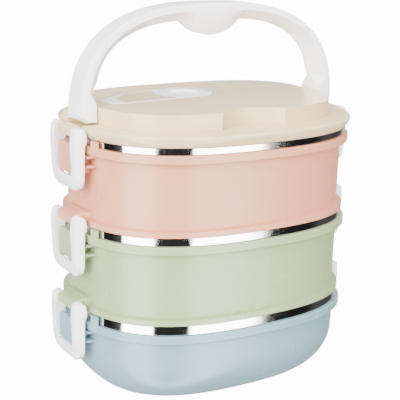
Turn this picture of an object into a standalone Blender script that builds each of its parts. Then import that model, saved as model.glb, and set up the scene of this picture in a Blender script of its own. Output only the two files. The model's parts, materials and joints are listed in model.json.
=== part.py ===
"""Stacking lunch box: three oval tubs with steel bowls, a vented lid, six bail latches and a folding handle.

Modelled in millimetres about the middle of the footprint, +Z up, base at z = 0, long side along X,
front towards -Y. Every mesh is turned to metres at the end.
"""
import math

import bpy
import bmesh
import numpy as np
from mathutils import Matrix, Vector

MM = 0.001

# Plan outline, shared by every tub and the lid
HALF_LENGTH = 87.5
HALF_WIDTH = 68.0
OUTLINE_POWER = 2.6
OUTLINE_POINTS = 40

# Levels of the stack
BASE_HEIGHT = 49.0
BASE_RIM = 5.8
TIER_HEIGHT = 47.0
GREEN_RIM = 5.0
PINK_RIM = 4.1

# Tub walls
WALL = 2.2
FLOOR = 2.4
FLANGE_HEIGHT = 5.0
FLANGE_EDGE = 0.5
GROOVE_HEIGHT = 0.8
GROOVE_DEPTH = 0.8
WALL_TOP_INSET = 4.2
WALL_BOTTOM_INSET = 4.6
BASE_WALL_INSET = 3.4
FOOT_INSET = 1.5
FOOT_HEIGHT = 3.2
BASE_ROUND = 30.0
BASE_RECESS_INSET = 38.0
BASE_RECESS = 1.0

# Steel bowls
STEEL = 0.8
BAND_INSET = 1.8
BOWL_ROUND = 8.0
FIT = 0.4
GAP = 0.3

# Seals under the lid and the two upper tubs
TONGUE_WIDTH = 1.5
TONGUE_INSET = 5.2
TONGUE_HEIGHT = 1.1

# Lid
SKIRT_HEIGHT = 6.6
SKIRT_WALL = 2.5
SKIRT_FLARE = 2.4
LEDGE_EDGE = 1.2
PLATEAU_HALF_LENGTH = HALF_LENGTH - 7.0
PLATEAU_HALF_WIDTH = HALF_WIDTH - 13.0
PLATEAU_POWER = 3.0
PLATEAU_HEIGHT = 9.5
PLATEAU_DRAFT = 0.6
PLATEAU_ROUND = 1.2
PLATEAU_SKIN = 2.5
NOTCH_RADIUS = 28.6
NOTCH_BACK = PLATEAU_HALF_WIDTH - 11.6
LINER_THICKNESS = 3.0

# Carry handle
HANDLE_HALF_LENGTH = HALF_LENGTH + 0.5
HANDLE_RISE = 66.5
HANDLE_POWER = 2.6
RIDGE_HALF_LENGTH = HANDLE_HALF_LENGTH - 12.7
RIDGE_RISE = HANDLE_RISE - 10.7
RIDGE_POWER = 3.05
HANDLE_WIDTH = 18.0
HANDLE_FOOT_TOP = 10.0
HANDLE_FOOT_GAP = 0.8
HANDLE_FOOT_STEP = 2.5
GRIP_HALF_WIDTH = 21.0
GRIP_RADIUS = 29.0
HANDLE_AXIS_Y = -4.2
HANDLE_AXIS_RISE = 6.2
HANDLE_PIN_RADIUS = 2.0
PLATEAU_END = HANDLE_HALF_LENGTH - 11.4
FOOT_GAP = 1.0
FOLD_CLEARANCE = 0.8
HANDLE_PIN_IN = PLATEAU_END - 5.6
HANDLE_PIN_OUT = HANDLE_HALF_LENGTH - 3.4
POCKET_DEPTH = 1.3
POST_WIDTH = 7.7
POST_GAP = 1.3
POST_HEIGHT = 5.2
POST_OUT = HANDLE_HALF_LENGTH
POST_IN = POST_OUT - 8.6
POST_SLOPE = 3.0

# Latches, ears and lugs
LATCH_HALF_WIDTH = 17.0
LATCH_ARM = 6.2
LATCH_PIVOT_X = HALF_LENGTH + 4.0
LATCH_PIVOT_RISE = 2.6
LATCH_LENGTH = 33.0
LATCH_CORNER = 8.0
LATCH_BAR = 8.3
LATCH_HOOK = 6.2
LATCH_WINDOW_CORNER = 3.0
LATCH_PIN_RADIUS = 1.2
LATCH_PIN_LENGTH = 29.0
EAR_OUT = LATCH_PIVOT_X + 2.5
EAR_CLEARANCE = 0.5
EAR_LIFT = 0.3
EAR_FRONT_HEIGHT = 5.4
EAR_BROW = HALF_LENGTH + 0.6
HOOD_HEIGHT = 7.7
HOOD_OUT = LATCH_PIVOT_X - 4.7
HOOD_HALF_WIDTH = 12.3
LUG_DROP = 21.6
LUG_OUT = LATCH_PIVOT_X + 0.4
FIN_DROPS = (6.0, 11.5)
FIN_THICKNESS = 1.2
POST_RIM_Y = 20.0
POST_RIM_WIDTH = 5.0
POST_RIM_THICKNESS = 2.5

# Vent
HEAD_X = -4.5
VENT_Y = 18.5
HEAD_RADIUS = 17.5
VENT_TAIL = ((-43.0, 28.5), (-65.5, 12.5), (-64.0, -3.5))
VENT_ISLAND = ((-42.5, 26.2), (-54.5, 11.5), (-54.5, -0.5))
VENT_THICKNESS = 2.2
VENT_GAP = 0.5
ISLAND_NECK = 3.0
DIMPLE_RADIUS = 10.4
DIMPLE_DEPTH = 1.2
VENT_HINGE_X = -59.5
VENT_HINGE_Y = 4.5
VENT_HUB_HALF = 5.0
VENT_HINGE_DROP = 2.4
VENT_PIN_RADIUS = 0.8
VENT_PIN_LENGTH = 17.0
VENT_HUB_RADIUS = 2.1
PLUG_RADIUS = 5.0
PLUG_HEIGHT = 2.5
VENT_HOLE_RADIUS = 2.0

GREEN_Z = BASE_HEIGHT + BASE_RIM
GREEN_TOP = GREEN_Z + TIER_HEIGHT
PINK_Z = GREEN_TOP + GREEN_RIM
PINK_TOP = PINK_Z + TIER_HEIGHT
LID_Z = PINK_TOP + PINK_RIM
LEDGE_Z = LID_Z + SKIRT_HEIGHT
LID_TOP = LEDGE_Z + PLATEAU_HEIGHT

CREAM = ((0.79, 0.73, 0.62), 0.38, 0.0)
PINK = ((0.76, 0.56, 0.49), 0.36, 0.0)
GREEN = ((0.60, 0.66, 0.52), 0.36, 0.0)
BLUE = ((0.54, 0.63, 0.66), 0.36, 0.0)
WHITE = ((0.87, 0.86, 0.88), 0.32, 0.0)
MIRROR = ((0.80, 0.80, 0.79), 0.08, 1.0)
PIN_STEEL = ((0.62, 0.62, 0.63), 0.25, 1.0)
SILICONE = ((0.82, 0.82, 0.80), 0.6, 0.0)

for old in list(bpy.data.objects):
    bpy.data.objects.remove(old, do_unlink=True)


def outline_angles(count):
    """Angles round the outline, closer together where it turns faster; alike in all four quarters."""
    fine = np.linspace(0.0, math.pi / 2, 2001)
    x = HALF_LENGTH * np.cos(fine) ** (2 / OUTLINE_POWER)
    y = HALF_WIDTH * np.sin(fine) ** (2 / OUTLINE_POWER)
    dx, dy = np.diff(x), np.diff(y)
    run = np.concatenate([[0.0], np.cumsum(np.hypot(dx, dy))])
    turn = np.unwrap(np.arctan2(dy, dx))
    turn = np.concatenate([[turn[0]], turn])
    turn = np.abs(turn - turn[0])
    pace = run / run[-1] + 0.7 * turn / turn[-1]
    steps = np.linspace(0.0, pace[-1], count // 4 + 1)
    quarter = list(np.interp(steps, pace, fine))
    back = [math.pi - a for a in reversed(quarter)][1:]
    half = quarter + back
    return half + [a + math.pi for a in half[1:-1]]


ANGLES = outline_angles(OUTLINE_POINTS)


def oval(a, b, z, power=OUTLINE_POWER):
    """One ring of the outline with half length a and half width b, at height z."""
    ring = []
    for t in ANGLES:
        c, s = math.cos(t), math.sin(t)
        x = a * math.copysign(abs(c) ** (2 / power), c) if abs(c) > 1e-9 else 0.0
        y = b * math.copysign(abs(s) ** (2 / power), s) if abs(s) > 1e-9 else 0.0
        ring.append((x, y, z))
    return ring


def inset_ring(inset, z):
    return oval(HALF_LENGTH - inset, HALF_WIDTH - inset, z)


def root(block, inset, low, high):
    """Trim the inner end of a block to a ring inside the wall that carries it."""
    return cut(block, loft("root", [inset_ring(inset, low - 1.0), inset_ring(inset, high + 1.0)]))


def make_object(name, bm):
    bmesh.ops.remove_doubles(bm, verts=bm.verts, dist=1e-4)
    bmesh.ops.recalc_face_normals(bm, faces=bm.faces)
    mesh = bpy.data.meshes.new(name)
    bm.to_mesh(mesh)
    bm.free()
    obj = bpy.data.objects.new(name, mesh)
    bpy.context.scene.collection.objects.link(obj)
    return obj


def loft(name, rings, closed=False):
    """Skin over rings of equally many points; closed joins the last ring to the first, else both are capped."""
    bm = bmesh.new()
    rows = [[bm.verts.new(p) for p in ring] for ring in rings]
    pairs = list(zip(rows, rows[1:]))
    if closed:
        pairs.append((rows[-1], rows[0]))
    count = len(rows[0])
    for low, high in pairs:
        for i in range(count):
            j = (i + 1) % count
            bm.faces.new((low[i], low[j], high[j], high[i]))
    if not closed:
        bm.faces.new(list(reversed(rows[0])))
        bm.faces.new(rows[-1])
    return make_object(name, bm)


def revolve_oval(name, profile, closed=False):
    """Carry a profile of (inset, z) points round the plan outline."""
    return loft(name, [inset_ring(inset, z) for inset, z in profile], closed)


def prism(name, points, axis, low, high):
    """Extrude an outline; its two coordinates are the other two axes in order."""
    def at(p, level):
        flat = list(p)
        flat.insert(axis, level)
        return tuple(flat)
    return loft(name, [[at(p, low) for p in points], [at(p, high) for p in points]])


def box(name, x0, x1, y0, y1, z0, z1):
    return prism(name, [(x0, y0), (x1, y0), (x1, y1), (x0, y1)], 2, z0, z1)


def arc(cx, cy, radius, start, end, steps):
    """Points on an arc, angles in degrees."""
    points = []
    for i in range(steps + 1):
        t = math.radians(start + (end - start) * i / steps)
        points.append((cx + radius * math.cos(t), cy + radius * math.sin(t)))
    return points


def rod(name, centre, radius, axis, low, high, sides=12):
    """Cylinder along an axis; centre gives the other two coordinates."""
    step = 360.0 / sides
    circle = arc(centre[0], centre[1], radius, step / 2, 360.0 + step / 2, sides)[:-1]
    return prism(name, circle, axis, low, high)


def combine(target, other, operation):
    """Apply one exact Boolean and drop the tool."""
    modifier = target.modifiers.new("combine", "BOOLEAN")
    modifier.operation = operation
    modifier.solver = "EXACT"
    modifier.object = other
    graph = bpy.context.evaluated_depsgraph_get()
    graph.update()
    result = bpy.data.meshes.new_from_object(target.evaluated_get(graph))
    target.modifiers.remove(modifier)
    target.data = result
    bpy.data.objects.remove(other, do_unlink=True)
    return target


def join(target, *others):
    for other in others:
        combine(target, other, "UNION")
    return target


def cut(target, *others):
    for other in others:
        combine(target, other, "DIFFERENCE")
    return target


def soften(obj, width, segments=1, angle=35.0):
    """Bevel the sharp edges."""
    modifier = obj.modifiers.new("edge", "BEVEL")
    modifier.width = width
    modifier.segments = segments
    modifier.limit_method = "ANGLE"
    modifier.angle_limit = math.radians(angle)
    graph = bpy.context.evaluated_depsgraph_get()
    graph.update()
    result = bpy.data.meshes.new_from_object(obj.evaluated_get(graph))
    obj.modifiers.remove(modifier)
    obj.data = result
    return obj


MATERIALS = {}


def dress(obj, look_name, look):
    colour, roughness, metallic = look
    if look_name not in MATERIALS:
        material = bpy.data.materials.new(look_name)
        material.use_nodes = True
        shader = material.node_tree.nodes["Principled BSDF"]
        shader.inputs["Base Color"].default_value = (*colour, 1.0)
        shader.inputs["Roughness"].default_value = roughness
        shader.inputs["Metallic"].default_value = metallic
        material.diffuse_color = (*colour, 1.0)
        MATERIALS[look_name] = material
    obj.data.materials.clear()
    obj.data.materials.append(MATERIALS[look_name])


def settle(obj, name, pivot, look_name, look, parent=None):
    """Name a finished piece, put its origin on its pivot, turn it to metres and hang it on its carrier."""
    obj.name = name
    obj.data.name = name
    mesh = obj.data
    mesh.transform(Matrix.Translation(-Vector(pivot)))
    mesh.transform(Matrix.Diagonal((MM, MM, MM, 1.0)))
    mesh.shade_smooth()
    mesh.set_sharp_from_angle(angle=math.radians(32))
    spot = Vector(pivot) * MM
    if parent is not None:
        obj.parent = parent
        spot = spot - PIVOTS[parent.name]
    obj.location = spot
    PIVOTS[name] = Vector(pivot) * MM
    dress(obj, look_name, look)
    return obj


PIVOTS = {}


def end_box(name, side, x0, x1, y0, y1, z0, z1):
    low, high = sorted((side * x0, side * x1))
    return box(name, low, high, y0, y1, z0, z1)


def tier_profile(low, high):
    """Closed section of a straight-walled tub, from under the floor, round the wall, to the inner floor."""
    groove_top = high - FLANGE_HEIGHT
    groove_low = groove_top - GROOVE_HEIGHT
    tongue_in = TONGUE_INSET + TONGUE_WIDTH + GAP
    tongue_out = TONGUE_INSET - GAP
    tongue_top = low + TONGUE_HEIGHT + GAP
    inner_low = WALL_BOTTOM_INSET + WALL
    inner_top = WALL_TOP_INSET + WALL
    floor = low + FLOOR
    return [
        (tongue_in, low), (tongue_in, tongue_top), (tongue_out, tongue_top), (tongue_out, low),
        (FOOT_INSET, low), (FOOT_INSET, low + FOOT_HEIGHT),
        (WALL_BOTTOM_INSET, low + FOOT_HEIGHT + 0.6), (WALL_TOP_INSET, groove_low),
        (WALL_TOP_INSET + GROOVE_DEPTH, groove_low), (WALL_TOP_INSET + GROOVE_DEPTH, groove_top),
        (FLANGE_EDGE, groove_top),
        (0.0, groove_top + FLANGE_EDGE), (0.0, high - FLANGE_EDGE), (FLANGE_EDGE, high),
        (inner_top, high), (inner_low, floor + 4.0), (inner_low + 4.0, floor),
    ]


def base_profile(low, high):
    """Closed section of the bottom tub: a round-bottomed shell with a foot recess."""
    groove_top = high - FLANGE_HEIGHT
    groove_low = groove_top - GROOVE_HEIGHT
    outer = [(BASE_RECESS_INSET + 1.2, low + BASE_RECESS), (BASE_RECESS_INSET, low)]
    centre = BASE_WALL_INSET + 0.5 + BASE_ROUND
    for x, z in arc(centre, low + BASE_ROUND, BASE_ROUND, 270.0, 180.0, 6):
        outer.append((x, z))
    inner = []
    for x, z in arc(centre, low + BASE_ROUND, BASE_ROUND - WALL, 180.0, 262.0, 5):
        inner.append((x, z))
    return outer + [
        (BASE_WALL_INSET, groove_low), (BASE_WALL_INSET + GROOVE_DEPTH, groove_low),
        (BASE_WALL_INSET + GROOVE_DEPTH, groove_top),
        (FLANGE_EDGE, groove_top), (0.0, groove_top + FLANGE_EDGE), (0.0, high - FLANGE_EDGE),
        (FLANGE_EDGE, high), (BASE_WALL_INSET + WALL, high),
    ] + inner + [(BASE_RECESS_INSET + 2.0, low + BASE_RECESS + WALL)]


def band(high, rim):
    """Upper part of a bowl's section: out over the tub's edge and up, then back down inside."""
    ledge = high + GAP
    top = high + rim - GAP
    inner = BAND_INSET + STEEL
    return [
        (BAND_INSET, ledge), (BAND_INSET, top), (inner, top), (inner, ledge + STEEL),
    ]


def bowl_profile(low, high, rim):
    """Closed section of a pressed steel bowl in a straight tub."""
    side_low = WALL_BOTTOM_INSET + WALL + FIT
    side_top = WALL_TOP_INSET + WALL + FIT
    floor = low + FLOOR + FIT
    steps = 2
    outer = arc(side_low + BOWL_ROUND, floor + BOWL_ROUND, BOWL_ROUND, 270.0, 180.0, steps)
    inner = arc(side_low + BOWL_ROUND, floor + BOWL_ROUND, BOWL_ROUND - STEEL, 180.0, 270.0, steps)
    return outer + [(side_top, high + GAP)] + band(high, rim) + [(side_top + STEEL, high + GAP + STEEL)] + inner


def base_bowl_profile(low, high, rim):
    """Closed section of the bottom tub's bowl, which follows the round bottom."""
    side_top = BASE_WALL_INSET + WALL + FIT
    centre = BASE_WALL_INSET + 0.5 + BASE_ROUND
    rise = low + BASE_ROUND + FIT
    outer = arc(centre, rise + BASE_RECESS, BASE_ROUND - WALL - FIT, 270.0, 180.0, 5)
    inner = arc(centre, rise + BASE_RECESS, BASE_ROUND - WALL - FIT - STEEL, 180.0, 270.0, 5)
    return outer + [(side_top, high + GAP)] + band(high, rim) + [(side_top + STEEL, high + GAP + STEEL)] + inner


def seal_profile(seat, low):
    """Ring under a tub or the lid: it lies on the bowl's ledge, and its tongue grips a groove above."""
    outer = BAND_INSET + STEEL + FIT
    bottom = seat + GAP + STEEL + GAP
    top = low - GAP
    return [
        (outer, bottom), (outer, top), (TONGUE_INSET, top), (TONGUE_INSET, low + TONGUE_HEIGHT),
        (TONGUE_INSET + TONGUE_WIDTH, low + TONGUE_HEIGHT), (TONGUE_INSET + TONGUE_WIDTH, bottom),
    ]


def ear(side, low, height, brow):
    """Hinge block for one latch, between its arms: its top falls away beyond the brow."""
    half = LATCH_HALF_WIDTH - LATCH_ARM - EAR_CLEARANCE
    inner = HALF_LENGTH - TONGUE_INSET + 0.7
    outline = [(inner, low), (HALF_LENGTH - FOOT_INSET, low), (EAR_OUT, low + EAR_LIFT),
               (EAR_OUT, low + EAR_FRONT_HEIGHT), (brow, low + height), (inner, low + height)]
    return soften(prism("ear", [(side * x, z) for x, z in outline], 1, -half, half), 0.8)


def ear_bore(side, low):
    half = LATCH_HALF_WIDTH
    pivot = (side * LATCH_PIVOT_X, low + LATCH_PIVOT_RISE)
    return rod("bore", pivot, LATCH_PIN_RADIUS + GAP, 1, -half, half, 12)


def lug(side, top, upper):
    """Catch block under which a latch hooks, with a fin on each side."""
    half = LATCH_HALF_WIDTH - LATCH_ARM - EAR_CLEARANCE
    bottom = upper - LUG_DROP
    block = end_box("lug", side, HALF_LENGTH - 12.0, LUG_OUT, -half, half, bottom, top)
    soften(block, 1.0)
    for drop in FIN_DROPS:
        z = top - drop
        fin = end_box("fin", side, HALF_LENGTH - 11.5, LATCH_PIVOT_X - 3.7, -LATCH_HALF_WIDTH - 1.0,
                      LATCH_HALF_WIDTH + 1.0, z - FIN_THICKNESS / 2, z + FIN_THICKNESS / 2)
        join(block, fin)
    return root(block, WALL_TOP_INSET + 1.3, bottom, top)


def rim_post(side, front, top, rim):
    """Small post outside the steel band that carries the load past it."""
    y0 = POST_RIM_Y
    y1 = POST_RIM_Y + POST_RIM_WIDTH
    if front:
        y0, y1 = -y1, -y0
    outer = HALF_LENGTH - 0.6
    return end_box("post", side, outer - POST_RIM_THICKNESS, outer, y0, y1,
                   top - FLANGE_HEIGHT / 2, top + rim - GAP)


def catch_end(shell, side, top, rim):
    join(shell, lug(side, top, top + rim))
    for front in (True, False):
        join(shell, rim_post(side, front, top, rim))


def hinge_end(shell, side, low):
    hood = end_box("hood", side, HALF_LENGTH - 12.0, HOOD_OUT, -HOOD_HALF_WIDTH, HOOD_HALF_WIDTH,
                   low + FLOOR, low + HOOD_HEIGHT)
    join(shell, root(soften(hood, 0.6), WALL_BOTTOM_INSET + 1.1, low, low + HOOD_HEIGHT))
    join(shell, ear(side, low, HOOD_HEIGHT - 0.3, HOOD_OUT - 0.5))
    cut(shell, ear_bore(side, low))


def make_tier(colour_name, low, high, rim):
    shell = revolve_oval(colour_name + "_shell", tier_profile(low, high))
    for side in (1, -1):
        catch_end(shell, side, high, rim)
        hinge_end(shell, side, low)
    return shell


def make_base():
    shell = revolve_oval("blue_shell", base_profile(0.0, BASE_HEIGHT))
    for side in (1, -1):
        catch_end(shell, side, BASE_HEIGHT, BASE_RIM)
    return shell


def plateau_ring(shrink, z):
    return oval(PLATEAU_HALF_LENGTH - shrink, PLATEAU_HALF_WIDTH - shrink, z, PLATEAU_POWER)


def plateau_solid(name, shrink, low, high, rounded):
    rings = [plateau_ring(shrink, low)]
    if rounded:
        r = PLATEAU_ROUND
        for x, z in arc(PLATEAU_DRAFT + r, high - r, r, 180.0, 90.0, 3):
            rings.append(plateau_ring(shrink + x, z))
    else:
        rings.append(plateau_ring(shrink, high))
    return loft(name, rings)


def notch(margin, low, high):
    centre_y = -NOTCH_BACK - NOTCH_RADIUS
    return rod("notch", (0.0, centre_y), NOTCH_RADIUS + margin, 2, low, high, 36)


def swell(points, grow):
    """Push every side of a closed outline outwards by the same amount."""
    count = len(points)
    normals = []
    for i, (x, y) in enumerate(points):
        dx, dy = points[(i + 1) % count][0] - x, points[(i + 1) % count][1] - y
        span = math.hypot(dx, dy)
        normals.append((dy / span, -dx / span))
    moved = []
    for i, (x, y) in enumerate(points):
        (ax, ay), (bx, by) = normals[i - 1], normals[i]
        scale = grow / (1.0 + ax * bx + ay * by)
        moved.append((x + (ax + bx) * scale, y + (ay + by) * scale))
    return moved


def vent_outline(grow, steps=10):
    """The lever's plan: a round head and a straight-sided tail that leans to the front."""
    head = arc(HEAD_X, VENT_Y, HEAD_RADIUS, -85.0, 101.0, steps)
    return swell(head + list(VENT_TAIL), grow)


def island_outline(grow):
    """Fixed panel inside the lever's window: it follows the lever's edges and ends round the head."""
    neck = arc(HEAD_X, VENT_Y, HEAD_RADIUS + ISLAND_NECK, 232.5, 143.0, 8)
    return swell(neck + list(VENT_ISLAND), grow)


def make_cover():
    skirt_top = LEDGE_Z
    edge = LEDGE_EDGE
    outer = [(FOOT_INSET + 0.4, LID_Z), (FOOT_INSET, LID_Z + 0.4)]
    rim = FOOT_INSET - SKIRT_FLARE
    outer.append((rim + 0.4, skirt_top - edge - 1.6))
    for x, z in arc(rim + edge, skirt_top - edge, edge, 180.0, 90.0, 3):
        outer.append((x, z))
    cover = revolve_oval("lid_cover", outer)
    plateau = plateau_solid("plateau", 0.0, LEDGE_Z - 1.5, LID_TOP, True)
    cut(plateau, notch(0.0, LEDGE_Z - 3.0, LID_TOP + 3.0))
    for side in (1, -1):
        far = HALF_LENGTH + 5.0
        bend = [(PLATEAU_END, 16.0), (PLATEAU_END - 0.7, 22.0), (PLATEAU_END - 2.6, 28.5), (PLATEAU_END - 6.6, 37.0)]
        shape = [(x, -y) for x, y in reversed(bend)] + bend + [(far, 40.0), (far, -40.0)]
        cut(plateau, prism("end", [(side * x, y) for x, y in shape], 2, LEDGE_Z - 3.0, LID_TOP + 3.0))
    cut(plateau, prism("fold", folded_room(FOLD_CLEARANCE), 2, LEDGE_Z - 3.0, LID_TOP + 3.0))
    join(cover, plateau)

    for side in (1, -1):
        join(cover, ear(side, LID_Z, SKIRT_HEIGHT - 0.2, EAR_BROW))
        back = HANDLE_WIDTH / 2 + POST_GAP
        crest = LEDGE_Z + POST_HEIGHT
        outline = [(POST_IN, LEDGE_Z - 2.0), (POST_OUT, LEDGE_Z - 2.0), (POST_OUT, crest - POST_SLOPE),
                   (POST_OUT - POST_SLOPE, crest), (POST_IN, crest)]
        post = prism("post", [(side * x, z) for x, z in outline], 1, back, back + POST_WIDTH)
        join(cover, soften(post, 0.9, 2, 30.0))
        cut(cover, end_box("pocket", side, PLATEAU_END, HANDLE_HALF_LENGTH + 0.6,
                           -HANDLE_WIDTH / 2 - 2.0, HANDLE_WIDTH / 2 + 0.5,
                           LEDGE_Z - POCKET_DEPTH, LEDGE_Z + 2.0))

    skirt_inner = [(FOOT_INSET + SKIRT_WALL, LID_Z - 3.0),
                   (FOOT_INSET + SKIRT_WALL, LID_Z + LINER_THICKNESS + GAP)]
    cut(cover, revolve_oval("well", skirt_inner))
    ceiling = LEDGE_Z + 1.0
    hollow = plateau_solid("hollow", PLATEAU_DRAFT + PLATEAU_SKIN, LID_Z + 1.0, LID_TOP - PLATEAU_SKIN, False)
    cut(hollow, notch(PLATEAU_SKIN, LID_Z, LID_TOP))
    cut(hollow, prism("fold", folded_room(FOLD_CLEARANCE + PLATEAU_SKIN), 2, LID_Z, LID_TOP))
    reach = HEAD_RADIUS + 4.0
    cut(hollow, box("vent_boss", VENT_HINGE_X - 11.0, HEAD_X + reach, VENT_TAIL[2][1] - 5.0, VENT_Y + reach,
                    ceiling, LID_TOP))
    for side in (1, -1):
        cut(hollow, end_box("pin_boss", side, HANDLE_PIN_IN - 2.5, HALF_LENGTH, -HALF_WIDTH, HALF_WIDTH,
                            LID_Z, LID_TOP))
    cut(cover, hollow)

    for side in (1, -1):
        cut(cover, ear_bore(side, LID_Z))
        low, high = sorted((side * (HANDLE_PIN_IN - GAP), side * (PLATEAU_END + 1.0)))
        cut(cover, rod("bore", (HANDLE_AXIS_Y, LEDGE_Z + HANDLE_AXIS_RISE), HANDLE_PIN_RADIUS + GAP,
                       0, low, high))

    bed = LID_TOP - VENT_THICKNESS - GAP
    recess = prism("recess", vent_outline(VENT_GAP), 2, bed, LID_TOP + 2.0)
    cut(recess, prism("island", island_outline(0.0), 2, bed - 1.0, LID_TOP + 3.0))
    cut(cover, recess)
    hinge_z = LID_TOP - VENT_HINGE_DROP
    room = prism("hub_room", vent_outline(VENT_GAP + 0.8), 2, hinge_z - VENT_HUB_RADIUS - 0.9, LID_TOP - 0.6)
    combine(room, box("side", VENT_HINGE_X - 20.0, VENT_HINGE_X + VENT_HUB_RADIUS + 0.6,
                      -HALF_WIDTH, HALF_WIDTH, LEDGE_Z, LID_TOP + 1.0), "INTERSECT")
    cut(cover, room)
    cut(cover, rod("pin_bore", (VENT_HINGE_X, hinge_z), VENT_PIN_RADIUS + GAP, 1,
                   VENT_HINGE_Y - VENT_PIN_LENGTH / 2 - GAP, VENT_HINGE_Y + VENT_PIN_LENGTH / 2 + GAP, 12))
    plug_low = LID_TOP - VENT_THICKNESS - GAP - PLUG_HEIGHT
    cut(cover, rod("plug_room", (HEAD_X, VENT_Y), PLUG_RADIUS + VENT_GAP, 2, plug_low - GAP, LID_TOP, 16))
    cut(cover, rod("vent_hole", (HEAD_X, VENT_Y), VENT_HOLE_RADIUS, 2, LID_Z, LID_TOP, 12))
    return cover


def make_liner():
    inset = FOOT_INSET + SKIRT_WALL + GAP
    low = LID_Z
    high = LID_Z + LINER_THICKNESS
    tongue_in = TONGUE_INSET + TONGUE_WIDTH + GAP
    tongue_out = TONGUE_INSET - GAP
    tongue_top = low + TONGUE_HEIGHT + GAP
    liner = revolve_oval("lid_liner", [
        (tongue_in, low), (tongue_in, tongue_top), (tongue_out, tongue_top), (tongue_out, low),
        (inset, low), (inset, high),
    ])
    cut(liner, rod("hole", (HEAD_X, VENT_Y), VENT_HOLE_RADIUS + 1.0, 2, low - 2.0, high + 2.0, 12))
    return liner


def make_lever():
    top = LID_TOP
    low = top - VENT_THICKNESS
    lever = prism("vent_lever", vent_outline(0.0), 2, low, top)
    soften(lever, 0.4, 1, 60.0)
    window = prism("window", island_outline(VENT_GAP), 2, low - 2.0, top + 2.0)
    cut(lever, window)
    hinge_z = top - VENT_HINGE_DROP
    hub = rod("hub", (VENT_HINGE_X, hinge_z), VENT_HUB_RADIUS, 1, VENT_HINGE_Y - VENT_HUB_HALF,
              VENT_HINGE_Y + VENT_HUB_HALF, 12)
    trim = box("trim", VENT_HINGE_X - 5.0, VENT_HINGE_X + 5.0, VENT_Y - 20.0, VENT_Y + 20.0,
               top - 0.7, top + 5.0)
    cut(hub, trim)
    join(lever, hub)
    cut(lever, rod("bore", (VENT_HINGE_X, hinge_z), VENT_PIN_RADIUS + GAP, 1, VENT_Y - 25.0, VENT_Y + 25.0, 12))
    dimple = loft("dimple", [
        [(x, y, top - DIMPLE_DEPTH) for x, y in arc(HEAD_X, VENT_Y, DIMPLE_RADIUS - 1.2, 0.0, 360.0, 20)[:-1]],
        [(x, y, top + 0.5) for x, y in arc(HEAD_X, VENT_Y, DIMPLE_RADIUS + 0.5, 0.0, 360.0, 20)[:-1]],
    ])
    cut(lever, dimple)
    return lever


def handle_station(s):
    """Outer and ridge points of the handle's half arch for one sine of the outline angle."""
    c = math.sqrt(max(0.0, 1.0 - s * s))
    outer = (HANDLE_HALF_LENGTH * c ** (2 / HANDLE_POWER), HANDLE_RISE * s ** (2 / HANDLE_POWER))
    ridge = (RIDGE_HALF_LENGTH * c ** (2 / RIDGE_POWER), RIDGE_RISE * s ** (2 / RIDGE_POWER))
    return outer, ridge


def sine_at_rise(rise):
    return (rise / HANDLE_RISE) ** (HANDLE_POWER / 2)


def sine_at_reach(x):
    c = (x / HANDLE_HALF_LENGTH) ** (HANDLE_POWER / 2)
    return math.sqrt(1.0 - c * c)


def ease(t):
    t = min(1.0, max(0.0, t))
    return t * t * (3.0 - 2.0 * t)


def handle_section(s, rise=None):
    """Points of one cross-section: a crowned back, two flanks and a ridge on the inner side."""
    outer, ridge = handle_station(s)
    half = HANDLE_WIDTH / 2
    foot_inner = PLATEAU_END + FOOT_GAP
    flank, tip_half = 0.42, 1.0
    if rise is not None:
        outer = (HANDLE_HALF_LENGTH * (1 - (rise / HANDLE_RISE) ** HANDLE_POWER) ** (1 / HANDLE_POWER), rise)
        ridge = (ridge[0], rise)
        depth = outer[0] - foot_inner
        full = outer[0] - ridge[0]
        blend = ease((rise - HANDLE_FOOT_TOP - 4.0) / 9.0)
        deep = depth + (full - depth) * blend
        ridge = (outer[0] - deep, rise)
        ratio = 1.0 + (flank - 1.0) * ease((rise - HANDLE_FOOT_TOP) / 10.0)
        flank = ratio
        tip_half = half - 0.7 + (1.7 - half) * ease((rise - HANDLE_FOOT_TOP) / 9.0)
        start = rise - HANDLE_FOOT_GAP
        if start < 0.8:
            half -= 0.8 - math.sqrt(max(0.0, 0.8 ** 2 - (0.8 - start) ** 2))
            tip_half = min(tip_half, half - 0.5)
    elif abs(outer[0]) < GRIP_HALF_WIDTH + 0.01:
        centre = RIDGE_RISE + math.sqrt(GRIP_RADIUS ** 2 - GRIP_HALF_WIDTH ** 2)
        low = centre - math.sqrt(GRIP_RADIUS ** 2 - outer[0] ** 2)
        ridge = (outer[0], low)
        tip_half = 1.2 + 1.6 * ease((GRIP_HALF_WIDTH - outer[0]) / 12.0)
        flank = 0.42 * (HANDLE_RISE - RIDGE_RISE) / (outer[1] - low) + 0.12 * ease((GRIP_HALF_WIDTH - outer[0]) / 12.0)
    points = []
    crown = ((0.0, 0.0), (0.86, 0.012), (1.0, 0.09))
    right = [(half * w, f) for w, f in crown] + [(half, flank), (tip_half, 1.0)]
    left = [(-y, f) for y, f in reversed(right[1:])]
    for y, f in right + left:
        x = outer[0] + (ridge[0] - outer[0]) * f
        z = outer[1] + (ridge[1] - outer[1]) * f
        points.append((x, y, LEDGE_Z + z))
    return points


def handle_rings():
    """Cross-sections of one half of the handle, from its foot to the middle of the grip."""
    legs = [HANDLE_FOOT_GAP + d for d in (0.0, 0.3, 0.8, 5.0)]
    legs += [HANDLE_FOOT_TOP + d for d in (0.0, 3.5, 6.5, 9.5, 13.0)]
    half = [handle_section(sine_at_rise(rise), rise) for rise in legs]
    start = math.degrees(math.asin(sine_at_rise(legs[-1] + 5.0)))
    stop = math.degrees(math.asin(sine_at_reach(42.0)))
    for i in range(9):
        half.append(handle_section(math.sin(math.radians(start + (stop - start) * i / 8))))
    for x in (31.0, GRIP_HALF_WIDTH + 0.6, GRIP_HALF_WIDTH, 17.0, 12.0, 6.0, 0.0):
        half.append(handle_section(sine_at_reach(x)))
    return half


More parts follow.
